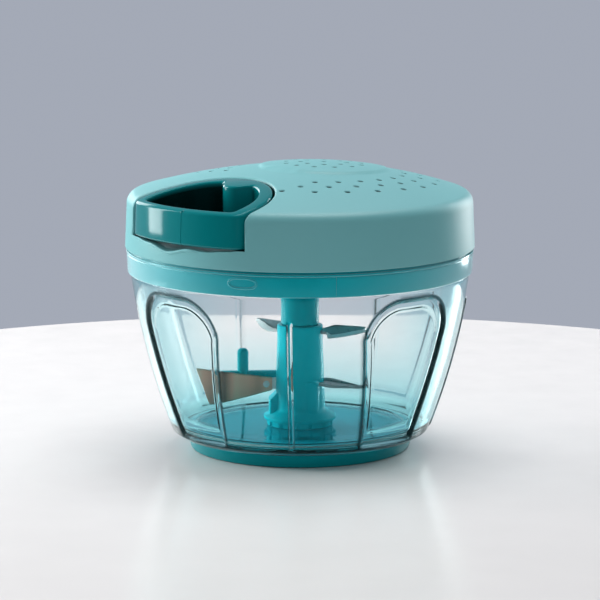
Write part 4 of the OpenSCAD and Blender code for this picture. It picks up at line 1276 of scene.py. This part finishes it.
class CHOPPER_OT_handle(Operator):
    """Skin the loop handle with its finger hole, cord boss, rolled edges and mould seam"""

    bl_idname = "chopper.handle"
    bl_label = "Pull Handle"

    def execute(self, context):
        c, h = context.scene.chopper_cover, context.scene.chopper_handle
        seam = -math.pi / 2 + 0.215
        angles = [math.tau * i / 260 - math.pi for i in range(260)]
        angles = sorted(angles + [seam - 0.012, seam, seam + 0.012])
        reach = star_outline(loop_plan(c, h), LOOP_EYE, angles, math.radians(2.8))
        reach[angles.index(seam)] -= h.seam_deep
        outside = spread(LOOP_EYE, angles, reach)
        inside = spread(LOOP_EYE, angles, star_outline(hole_plan(c, h), LOOP_EYE, angles, math.radians(2.2)))

        turns = [math.radians(a) for a in (0, 18, 36, 54, 72, 90)]
        rolls = [(1 - math.cos(a), 1 - math.sin(a)) for a in turns]
        edge = h.low_edge
        rings = [handle_ring(c, outside, -edge * up, HANDLE_LOW + edge * out) for out, up in rolls]
        rings.append(handle_ring(c, outside, 0.0, HANDLE_LOW + 0.005))
        edge = h.outer_edge
        rings += [handle_ring(c, outside, -edge * out, None, edge * up) for out, up in rolls]
        edge = h.inner_edge
        rings += [handle_ring(c, inside, edge * out, None, edge * up) for out, up in reversed(rolls)]
        rings.append(handle_ring(c, inside, 0.0, None, edge + 0.0012))
        rings.append(handle_ring(c, inside, 0.0, HANDLE_LOW + 0.005))
        rings.append(handle_ring(c, inside, 0.0, HANDLE_LOW + 0.0004))
        rings.append(handle_ring(c, inside, 0.0004, HANDLE_LOW))
        rings.append(rings[0])
        handle = loft("pull_loop", rings)
        hole_path = [Vector((0, y, CORD_LEVEL)) for y in (-h.back + 0.003, -h.back - 0.006)]
        combine(handle, loft("cord_hole", tube(hole_path, 0.0012, sides=20), caps=True), "DIFFERENCE")
        settle(handle, "handle", ["pull_handle"], "Gloss Handle Plastic")
        shade_hole(handle, c, h)
        return {"FINISHED"}


class CHOPPER_OT_shaft(Operator):
    """Turn the drive shaft with its clutch disc, six-sided drive end and pawl pins"""

    bl_idname = "chopper.shaft"
    bl_label = "Drive Shaft"

    def execute(self, context):
        d = context.scene.chopper_drive
        low = HUB_TOP + 0.0003
        clutch_low = CLUTCH_TOP - 0.002
        section = rounded([
            (0.0, low, 0.0),
            (d.shaft_r, low, 0.0005),
            (d.shaft_r, clutch_low, 0.0),
            (d.clutch_r, clutch_low, 0.0003),
            (d.clutch_r, CLUTCH_TOP, 0.0003),
            (0.00325, CLUTCH_TOP, 0.0002),
            (0.00325, CLUTCH_TOP - 0.005, 0.0002),
            (0.0, CLUTCH_TOP - 0.005, 0.0),
        ])
        shaft = lathe("drive_tube", section, steps=128)
        turns = [math.radians(a) for a in range(0, 360, 60)]
        corners = [(d.drive_r * math.cos(a), d.drive_r * math.sin(a)) for a in turns]
        six = [[(x * s, y * s, z) for x, y in corners]
               for s, z in ((0.9, low - d.drive_len), (1.0, low - d.drive_len + 0.0008), (1.0, low + 0.001))]
        extras = [loft("drive_end", six, caps=True)]
        for turn in (56.0, 236.0):
            x, y = 0.012 * math.cos(math.radians(turn)), 0.012 * math.sin(math.radians(turn))
            pin = [(0.0, 0.0), (0.0012, 0.0), (0.0012, 0.0051), (0.0008, 0.0055), (0.0, 0.0055)]
            pin = lathe("pawl_pin", [(r, CLUTCH_TOP - 0.0018 + z) for r, z in pin], steps=24)
            extras.append(shift(pin, (x, y, 0.0)))
        join(shaft, *extras)
        settle(shaft, "shaft", ["drive_shaft"], "Drive Plastic")
        return {"FINISHED"}


def drain_slots(d, flange_z):
    """Round slots for all the drains under the hub's flange."""
    slots = []
    for i in range(14):
        spot = toward(i * 360 / 14 + 10, d.foot_r + 0.0003)
        path = [Vector((spot.x, spot.y, z)) for z in (HUB_LOW - 0.001, flange_z - 0.0004)]
        slots.append(loft("drain_slot", tube(path, 0.0011, sides=12), caps=True))
    return join(*slots)


def paddle_gusset(d, k, flange_z):
    """The gusset that carries the paddle's root."""
    paddle_low = PADDLE_LEVEL - k.paddle_root / 2 - 0.0003
    outline = rounded([
        (d.hub_r - 0.003, flange_z + 0.0006, 0.0),
        (d.hub_r + d.gusset_len, flange_z + 0.0006, 0.0),
        (d.hub_r + d.gusset_len, paddle_low - d.gusset_len, 0.0014),
        (d.hub_r, paddle_low, 0.0008),
        (d.hub_r - 0.003, paddle_low, 0.0),
    ])
    half = d.gusset_w / 2
    sides = ((-half, 0.0004), (-half + 0.0004, 0.0), (half - 0.0004, 0.0), (half, 0.0004))
    gusset = [[beside(k.paddle_az, out - (inset if out > d.hub_r else 0), side, z) for out, z in outline]
              for side, inset in sides]
    return loft("gusset", gusset, caps=True)


def blade_post(d, flange_z):
    """The post under the lower blade."""
    post_top = LOWER_TOP + 0.0008
    post = lathe("blade_post", rounded([
        (0.0, flange_z + 0.0005, 0.0),
        (d.post_r + 0.0008, flange_z + 0.0005, 0.0),
        (d.post_r, flange_z + 0.004, 0.002),
        (d.post_r, post_top, 0.0012),
        (0.0, post_top, 0.0),
    ]), steps=48)
    spot = toward(d.post_az, d.hub_r - d.post_sunk)
    return shift(post, (spot.x, spot.y, 0.0))


class CHOPPER_OT_hub(Operator):
    """Turn the blade hub, cut its drain slots and join on its gusset and blade post"""

    bl_idname = "chopper.hub"
    bl_label = "Blade Hub"

    def execute(self, context):
        d, k = context.scene.chopper_drive, context.scene.chopper_blades
        flange_z = HUB_LOW + 0.002
        section = rounded([
            (d.pin_r + 0.0001, HUB_LOW + 0.008, 0.0),
            (d.pin_r + 0.0001, HUB_LOW, 0.0),
            (d.foot_r, HUB_LOW, 0.0003),
            (d.foot_r, flange_z, 0.0003),
            (d.flange_r, flange_z, 0.0005),
            (d.flange_r, flange_z + 0.0013, 0.0005),
            (d.hub_r + 0.0009, flange_z + 0.0035, 0.003),
            (d.hub_r, HUB_TOP - 0.006, 0.0),
            (d.hub_r, HUB_TOP, 0.0006),
            (0.0066, HUB_TOP, 0.0003),
            (0.0066, HUB_TOP - 0.014, 0.0),
            (d.pin_r + 0.0001, HUB_TOP - 0.014, 0.0),
            (d.pin_r + 0.0001, HUB_LOW + 0.008, 0.0),
        ])
        hub = lathe("hub_sleeve", section, steps=128)
        combine(hub, drain_slots(d, flange_z), "DIFFERENCE")
        combine(hub, paddle_gusset(d, k, flange_z), "UNION")
        combine(hub, blade_post(d, flange_z), "UNION")
        settle(hub, "blades", ["blade_hub"], "Hub Plastic")
        return {"FINISHED"}


def wing_outline(k, reach, root, blunt, tang):
    """Plan of one knife wing along its direction: (out, side, ground) points, ground 1 on the edge."""
    half_w = k.wing_w / 2
    run = reach - 0.002
    arc = (run * run + k.wing_w ** 2) / (2 * k.wing_w)
    end = reach - 0.0012 - blunt
    edge = []
    for out in along(root, end, 0.0007):
        side = half_w - arc + math.sqrt(arc * arc - (out - 0.002) ** 2)
        neck = ease((tang - out) / 0.0018)
        edge.append((out, side + (0.0008 - side) * neck, 1.0 - neck))
    last = edge[-1][1]
    tip = []
    for turn, ground in ((60.0, 0.9), (30.0, 0.7), (0.0, 0.5), (-40.0, 0.3), (-75.0, 0.1)):
        a = math.radians(turn)
        middle, tall = (last - half_w) / 2, (last + half_w) / 2
        tip.append((end + 0.0011 * math.cos(a), middle + tall * math.sin(a), ground))
    spine = [(out, -half_w, 0.0) for out in along(end, root, 0.0014)]
    return edge + tip + spine


def knife_wing(name, k, az, pitch, reach, low, high, blunt=0.0, tang=0.0, hand=1.0):
    """One knife wing with a ground edge along its curve; a pitch presses that edge down."""
    plan = wing_outline(k, reach, 0.0045, blunt, tang)
    fall = math.tan(math.radians(pitch))
    rings = []
    for level, ground in ((low, 0.0), (low + 0.00012, 0.0), (high, 1.0)):
        ring = []
        for i, (out, side, edge) in enumerate(plan):
            after, before = plan[(i + 1) % len(plan)], plan[i - 1]
            run = Vector((after[0] - before[0], after[1] - before[1])).normalized()
            inset = ground * edge * min(k.ground_w, 0.45 * (side + k.wing_w / 2))
            drop = fall * side * ease((out - 0.0065) / 0.006)
            ring.append(beside(az, out + run.y * inset, hand * (side - run.x * inset), level - drop))
        rings.append(ring if hand > 0.0 else ring[::-1])
    return loft(name, rings, caps=True)


class CHOPPER_OT_knives(Operator):
    """Skin the two-winged upper blade and the pointed lower blade with their ground edges"""

    bl_idname = "chopper.knives"
    bl_label = "Knives"

    def execute(self, context):
        k = context.scene.chopper_blades
        cut = {"blunt": 0.0022, "tang": 0.0125, "hand": -1.0}
        reach, levels = k.upper_reach, (UPPER_LOW, UPPER_TOP)
        first = knife_wing("upper_knife", k, k.upper_az, k.blunt_pitch, reach + cut["blunt"], *levels, **cut)
        second = knife_wing("second_wing", k, k.upper_az + k.upper_turn, k.pitch, reach, *levels)
        upper = join(first, second)
        settle(upper, "blades", ["upper_blade"], "Knife Steel", smooth=12.0)
        lower = knife_wing("lower_knife", k, k.lower_az, -k.pitch, k.lower_reach, LOWER_LOW, LOWER_TOP)
        settle(lower, "blades", ["lower_blade"], "Knife Steel", smooth=12.0)
        for knife in (upper, lower):
            knife.data.materials.append(bpy.data.materials["Ground Edge Steel"])
            for face in knife.data.polygons:
                if 0.1 < face.normal.z < 0.975 and len(face.vertices) == 4:
                    face.material_index = 1
        return {"FINISHED"}


def paddle_sheet(k, root, face):
    """The bowed sheet of the paddle, which widens outward and ends in a rising heel."""
    low, high = PADDLE_LEVEL - k.paddle_root / 2, PADDLE_LEVEL + k.paddle_root / 2
    end_low = low - 0.005
    heel = k.paddle_reach - 0.005
    tip_z = end_low + k.paddle_tall
    rings = []
    for out in along(root, k.paddle_reach - 0.0003, 0.0007):
        share = (out - root) / (k.paddle_reach - root)
        top = high + (tip_z - high) * share
        bottom = low + (end_low - low) * min(1.0, (out - root) / (heel - 0.002 - root))
        bottom += (tip_z - end_low) * ease((out - heel + 0.0022) / 0.0044) * max(0.0, out - heel) / 0.005
        bottom = min(bottom, top - 0.0001)
        side = face + k.paddle_bow * math.sin(math.pi * share)
        chamfer = min(0.0003, (top - bottom) / 3)
        corners = [(0.0, bottom + chamfer), (0.25, bottom), (0.75, bottom), (1.0, bottom + chamfer),
                   (1.0, top - chamfer), (0.75, top), (0.25, top), (0.0, top - chamfer)]
        rings.append([beside(k.paddle_az, out, side + k.thick * t, z) for t, z in corners])
    return loft("paddle_sheet", rings, caps=True)


def paddle_rivet(k, out, back, front):
    """The rivet through paddle and arm, with a low head on both sides."""
    head = [(-0.0006, 0.0), (-0.0005, 0.0007), (-0.0002, 0.0013), (0.0, 0.0015)]
    line = [(front - s, r) for s, r in head] + [(front, 0.0009), (back, 0.0009)]
    line += [(back + s, r) for s, r in reversed(head)]
    spokes = [(math.cos(math.tau * i / 20), math.sin(math.tau * i / 20)) for i in range(20)]
    return loft("rivet", [
        [beside(k.paddle_az, out + r * x, side, PADDLE_LEVEL + r * y) for x, y in spokes] for side, r in line
    ])


def paddle_arm(k, start, back, front):
    """The arm behind the paddle with its rounded end and upright peg."""
    top = PADDLE_LEVEL + k.paddle_root / 2 + 0.002
    rings = []
    for out in along(start, k.arm_len, 0.001):
        past = max(0.0, (out - k.arm_len + 0.0012) / 0.0012)
        end = 0.0012 * (1.0 - math.sqrt(max(0.0, 1.0 - past ** 2)))
        outline = rounded([
            (back, top - 0.001, 0.0),
            (back, top - k.arm_tall + end, 0.0006),
            (front, top - k.arm_tall + end, 0.0006),
            (front, top - end, 0.0006),
            (back, top - end, 0.0006),
            (back, top - 0.001, 0.0),
        ], steps=3)[:-1]
        rings.append([beside(k.paddle_az, out, side, z) for side, z in outline])
    arm = loft("paddle_support", rings, caps=True)
    peg_top = top + 0.0085
    peg = lathe("peg", rounded([
        (0.0, top - 0.002, 0.0),
        (k.peg_r, top - 0.002, 0.0),
        (k.peg_r, peg_top, k.peg_r * 0.8),
        (0.0, peg_top, 0.0),
    ]), steps=48)
    return combine(arm, shift(peg, beside(k.paddle_az, k.peg_at, (back + front) / 2, 0.0)), "UNION")


class CHOPPER_OT_paddle(Operator):
    """Skin the bowed paddle blade, its rivet and the arm with its peg"""

    bl_idname = "chopper.paddle"
    bl_label = "Paddle"

    def execute(self, context):
        d, k = context.scene.chopper_drive, context.scene.chopper_blades
        root, face = d.hub_r + 0.002, 0.00055
        paddle = paddle_sheet(k, root, face)
        settle(paddle, "blades", ["paddle_blade"], "Paddle Steel", smooth=25.0)
        arm_front = -k.thick / 2 - ARM_GAP
        arm_back = arm_front - k.arm_t
        rivet = paddle_rivet(k, root + 0.0024, arm_back, face + k.thick)
        settle(rivet, "blades", ["paddle_rivet"], "Bright Steel")
        arm = paddle_arm(k, d.hub_r - 0.0015, arm_back, arm_front)
        settle(arm, "blades", ["paddle_arm"], "Drive Plastic")
        return {"FINISHED"}


class CHOPPER_OT_cord(Operator):
    """Skin the winding on the drum, the lead that stretches to the handle, and its knot"""

    bl_idname = "chopper.cord"
    bl_label = "Pull Cord"

    def execute(self, context):
        s = context.scene.chopper_cord
        low, high = (corner[2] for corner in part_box("cord_winding"))
        turns = (high - low) / (2 * s.cord_r)
        path = []
        for a in along(0.0, turns * math.tau - math.tau, math.radians(9.0)):
            r = s.drum_r + s.cord_r + 0.0001
            level = low + s.cord_r + 2 * s.cord_r * a / math.tau
            path.append(Vector((r * math.cos(a), r * math.sin(a), level)))
        winding = loft("cord_winding_turns", tube(path, 0.97 * s.cord_r), caps=True)
        settle(winding, "spool", ["cord_winding"], "Cord Fibre", smooth=60.0)

        lean = math.acos(s.lead_r / s.bend_out)
        start = Vector((-s.lead_r * math.sin(lean), -s.lead_r * math.cos(lean), CORD_LEVEL))
        bend = Vector((0.0, -s.bend_out, CORD_LEVEL))
        end = Vector((0.0, -s.knot_out + 0.8 * s.knot_r, CORD_LEVEL))
        before, after = bend + 0.002 * (start - bend).normalized(), bend + 0.002 * (end - bend).normalized()
        path = [start + (before - start) * t for t in along(0.0, 1.0, 0.1)]
        path += [before * (1 - t) ** 2 + bend * 2 * t * (1 - t) + after * t * t for t in (0.2, 0.4, 0.6, 0.8)]
        path += [after + (end - after) * t for t in along(0.0, 1.0, 1.0 / 96)]
        lead = loft("cord_lead_run", tube(path, s.cord_r), caps=True)
        dress(lead, "Cord Fibre", 60.0)
        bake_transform(lead)
        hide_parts("cord_lead")

        path = []
        for a in [math.tau * i / 72 for i in range(72)]:
            x, y, z = math.sin(a) + 2 * math.sin(2 * a), math.cos(a) - 2 * math.cos(2 * a), -math.sin(3 * a)
            path.append(Vector((x, z * 1.2, y)) * (s.knot_r - 0.0008) / 3.0)
        path = [p + Vector((0.0, -s.knot_out, CORD_LEVEL)) for p in path]
        knot = loft("cord_knot_turns", tube(path, 0.0007, loop=True))
        settle(knot, "handle", ["cord_knot"], "Cord Fibre", smooth=60.0)
        return {"FINISHED"}


class CHOPPER_OT_finishes(Operator):
    """Mix every finish of the chopper"""

    bl_idname = "chopper.finishes"
    bl_label = "Finishes"

    def execute(self, context):
        c = context.scene.chopper_colours
        moulded_group()
        brushed_group()
        # The lid mixes painted shade into its finger hollow.
        moulded("Satin Lid Plastic", c.lid, 0.46, grain=1400.0, drift=0.06, bump=0.10, deep=c.well)
        # A dark material that stands in for shade in notch and dimples.
        moulded("Painted Recess Shade", c.well, 0.45, grain=1400.0, drift=0.1, bump=0.15)
        # The handle mixes painted shade into its finger hole.
        gloss = {"coat": 0.55, "deep": c.hole_painted_shade, "glint": c.glint}
        moulded("Gloss Handle Plastic", c.handle, 0.1, grain=500.0, drift=0.05, bump=0.01, **gloss)
        moulded("Drive Plastic", c.drive, 0.24, grain=700.0, drift=0.08, bump=0.05, glint=c.glint)
        moulded("Hub Plastic", c.hub, 0.24, grain=700.0, drift=0.08, bump=0.05, glint=c.glint)
        moulded("Foot Rubber", c.foot, 0.42, grain=1200.0, drift=0.12, bump=0.2, glint=c.glint)
        # Painted light: a lighter copy of the foot rubber.
        moulded("Foot Top Painted Light", c.foot_top_painted_light, 0.3, grain=1200.0, drift=0.1, bump=0.05, glint=c.glint)
        moulded("White Plastic", c.white, 0.35, grain=1000.0, drift=0.06, bump=0.08)
        moulded("Seal Rubber", c.seal, 0.6, grain=1500.0, drift=0.1, bump=0.2)
        brushed("Knife Steel", c.knife, 0.28, (900.0, 900.0, 30.0), contrast=0.18, metallic=0.55)
        brushed("Ground Edge Steel", c.ground, 0.5, (900.0, 900.0, 30.0), contrast=0.1, metallic=0.3)
        brushed("Paddle Steel", c.paddle, 0.38, (700.0, 700.0, 25.0), contrast=0.15, bands=4.0)
        brushed("Fitting Steel", c.fitting, 0.25, (900.0, 900.0, 900.0), contrast=0.15)
        brushed("Bright Steel", c.bright, 0.4, (900.0, 900.0, 900.0), contrast=0.1, metallic=0.35)
        brushed("Spring Steel", c.spring, 0.3, (400.0, 400.0, 4000.0), contrast=0.2)
        clear_plastic("Clear Bowl Plastic", c)
        collar_plastic("Collar Plastic", c)
        cord_fibre("Cord Fibre", c.cord)
        return {"FINISHED"}


class CHOPPER_OT_mechanism(Operator):
    """Give the plain solids that stay their finishes"""

    bl_idname = "chopper.mechanism"
    bl_label = "Mechanism"

    def execute(self, context):
        finishes = {
            "Fitting Steel": ["pivot_pin", "spool_axle", "shaft_clip", "cord_eyelet", "lid_screws"],
            "Bright Steel": ["paddle_tab"],
            "White Plastic": ["shaft_bush", "cord_spool", "spring_cover", "pawl_a", "pawl_b"],
            "Spring Steel": ["recoil_spring"],
            "Seal Rubber": ["lid_gasket"],
        }
        for finish, nodes in finishes.items():
            for node in nodes:
                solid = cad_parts[node]
                for slot in solid.material_slots:
                    slot.material = bpy.data.materials[finish]
        return {"FINISHED"}


def area_lamp(name, az, height, out, size, watts, tint, shines=True):
    """A soft square lamp at an azimuth, aimed at the chopper."""
    spot = toward(az, out)
    deselect()
    bpy.ops.object.light_add(type="AREA", location=(spot.x, spot.y, height))
    lamp = bpy.context.object
    lamp.name = name
    lamp.data.shape = "RECTANGLE"
    lamp.data.size, lamp.data.size_y = size
    lamp.data.energy = watts
    lamp.data.color = tint
    lamp.visible_camera = False
    lamp.visible_transmission = False
    lamp.visible_glossy = shines
    lamp.rotation_euler = (Vector((0.0, 0.0, 0.06)) - lamp.location).to_track_quat("-Z", "Y").to_euler()
    return lamp


def set_table(studio, c):
    """A plain round table top under the chopper."""
    table = lathe("table_top", rounded([
        (0.0, -0.0001, 0.0),
        (studio.table_r, -0.0001, 0.002),
        (studio.table_r, -0.02, 0.002),
        (0.0, -0.02, 0.0),
    ]), steps=128)
    pick(table)
    bpy.ops.object.shade_smooth_by_angle(angle=math.radians(30.0))
    table.data.materials.append(moulded("Table Top", c.table, 0.24, grain=60.0, drift=0.03, bump=0.0))


def set_camera(scene, studio):
    """The camera, in front of the chopper and a little above it."""
    spot = toward(studio.camera_az, studio.camera_out)
    deselect()
    bpy.ops.object.camera_add(
        location=(spot.x, spot.y, studio.camera_z),
        rotation=(math.radians(90.0 - studio.camera_down), 0.0, math.radians(studio.camera_az)),
    )
    camera = bpy.context.object
    camera.data.lens = LENS
    camera.data.sensor_width = SENSOR
    scene.camera = camera


def set_lamps():
    """The soft lamps round the table."""
    area_lamp("Key", -62.0, 0.32, 0.85, (0.24, 0.80), 4.2, (1.0, 0.99, 0.97))
    area_lamp("Side", -66.0, 0.20, 1.40, (0.60, 0.30), 17.0, (1.0, 0.99, 0.97), shines=False)
    area_lamp("Sheen", -100.0, 0.36, 0.90, (0.50, 0.40), 3.0, (1.0, 1.0, 1.0))
    area_lamp("Top", 200.0, 1.0, 0.2, (0.7, 0.7), 6.8, (1.0, 1.0, 1.0))
    area_lamp("Rim", 182.0, 0.17, 0.8, (0.2, 0.5), 3.2, (1.0, 1.0, 1.0))
    area_lamp("Back", 224.5, 0.75, 1.0, (1.2, 0.8), 2.2, (1.0, 1.0, 1.0), shines=False)
    area_lamp("Fill", 40.0, 0.25, 1.3, (0.8, 0.6), 2.5, (0.96, 0.98, 1.0), shines=False)


def set_background(scene, studio, c):
    """Even light from all round, a plain wall, and a dark side that shows only in gloss."""
    world = bpy.data.worlds.new("Studio")
    scene.world = world
    world.use_nodes = True
    tree = world.node_tree
    light = tree.nodes["Background"]
    light.inputs["Color"].default_value = (0.95, 0.97, 1.0, 1.0)
    light.inputs["Strength"].default_value = 0.31
    way = tree.nodes.new("ShaderNodeTexCoord")
    front = tree.nodes.new("ShaderNodeVectorMath")
    front.operation = "DOT_PRODUCT"
    tree.links.new(way.outputs["Generated"], front.inputs[0])
    front.inputs[1].default_value = toward(studio.camera_az, studio.camera_out).normalized().to_3d()
    fade = add(tree, "ShaderNodeMapRange", From_Min=-0.15, From_Max=0.45)
    tree.links.new(front.outputs["Value"], fade.inputs["Value"])
    plain = add(tree, "ShaderNodeBackground", Strength=1.0)
    path = tree.nodes.new("ShaderNodeLightPath")
    far = colour_mix(tree, path.outputs["Is Transmission Ray"], c.wall, c.wall_through)
    near = math_node(tree, "MULTIPLY", fade.outputs["Result"], path.outputs["Is Glossy Ray"])
    tree.links.new(colour_mix(tree, near, far, c.dark), plain.inputs["Color"])
    seen = math_node(tree, "MAXIMUM", path.outputs["Is Camera Ray"], path.outputs["Is Transmission Ray"])
    seen = math_node(tree, "MAXIMUM", seen, path.outputs["Is Glossy Ray"])
    mix = tree.nodes.new("ShaderNodeMixShader")
    tree.links.new(seen, mix.inputs[0])
    tree.links.new(light.outputs["Background"], mix.inputs[1])
    tree.links.new(plain.outputs["Background"], mix.inputs[2])
    tree.links.new(mix.outputs["Shader"], tree.nodes["World Output"].inputs["Surface"])


class CHOPPER_OT_stage(Operator):
    """Set the table, the camera, the lamps and the background"""

    bl_idname = "chopper.stage"
    bl_label = "Stage"

    def execute(self, context):
        scene, studio, colours = context.scene, context.scene.chopper_studio, context.scene.chopper_colours
        scene.view_settings.view_transform = "Standard"
        set_table(studio, colours)
        set_camera(scene, studio)
        set_lamps()
        set_background(scene, studio, colours)
        return {"FINISHED"}


STEPS = (
    CHOPPER_OT_finishes,
    CHOPPER_OT_stage,
    CHOPPER_OT_bowl,
    CHOPPER_OT_foot,
    CHOPPER_OT_collar,
    CHOPPER_OT_cover,
    CHOPPER_OT_handle,
    CHOPPER_OT_shaft,
    CHOPPER_OT_hub,
    CHOPPER_OT_knives,
    CHOPPER_OT_paddle,
    CHOPPER_OT_cord,
    CHOPPER_OT_mechanism,
)


class CHOPPER_PT_panel(Panel):
    """Steps of the food chopper"""

    bl_idname = "CHOPPER_PT_panel"
    bl_label = "Food Chopper"
    bl_space_type = "VIEW_3D"
    bl_region_type = "UI"
    bl_category = "Chopper"

    def draw(self, context):
        for step in STEPS:
            self.layout.operator(step.bl_idname)


GROUPS = {
    "chopper_bowl": ChopperBowl,
    "chopper_foot": ChopperFoot,
    "chopper_collar": ChopperCollar,
    "chopper_cover": ChopperCover,
    "chopper_handle": ChopperHandle,
    "chopper_drive": ChopperDrive,
    "chopper_blades": ChopperBlades,
    "chopper_cord": ChopperCord,
    "chopper_colours": ChopperColours,
    "chopper_studio": ChopperStudio,
}


def register():
    for name, group in GROUPS.items():
        bpy.utils.register_class(group)
        setattr(bpy.types.Scene, name, PointerProperty(type=group))
    for step in STEPS:
        bpy.utils.register_class(step)
    bpy.utils.register_class(CHOPPER_PT_panel)


def unregister():
    bpy.utils.unregister_class(CHOPPER_PT_panel)
    for step in reversed(STEPS):
        bpy.utils.unregister_class(step)
    for name, group in reversed(GROUPS.items()):
        delattr(bpy.types.Scene, name)
        bpy.utils.unregister_class(group)


def main():
    register()
    bpy.ops.chopper.finishes()
    bpy.ops.chopper.stage()
    bpy.ops.chopper.bowl()
    bpy.ops.chopper.foot()
    bpy.ops.chopper.collar()
    bpy.ops.chopper.cover()
    bpy.ops.chopper.handle()
    bpy.ops.chopper.shaft()
    bpy.ops.chopper.hub()
    bpy.ops.chopper.knives()
    bpy.ops.chopper.paddle()
    bpy.ops.chopper.cord()
    bpy.ops.chopper.mechanism()
    deselect()


if __name__ == "__main__":
    main()
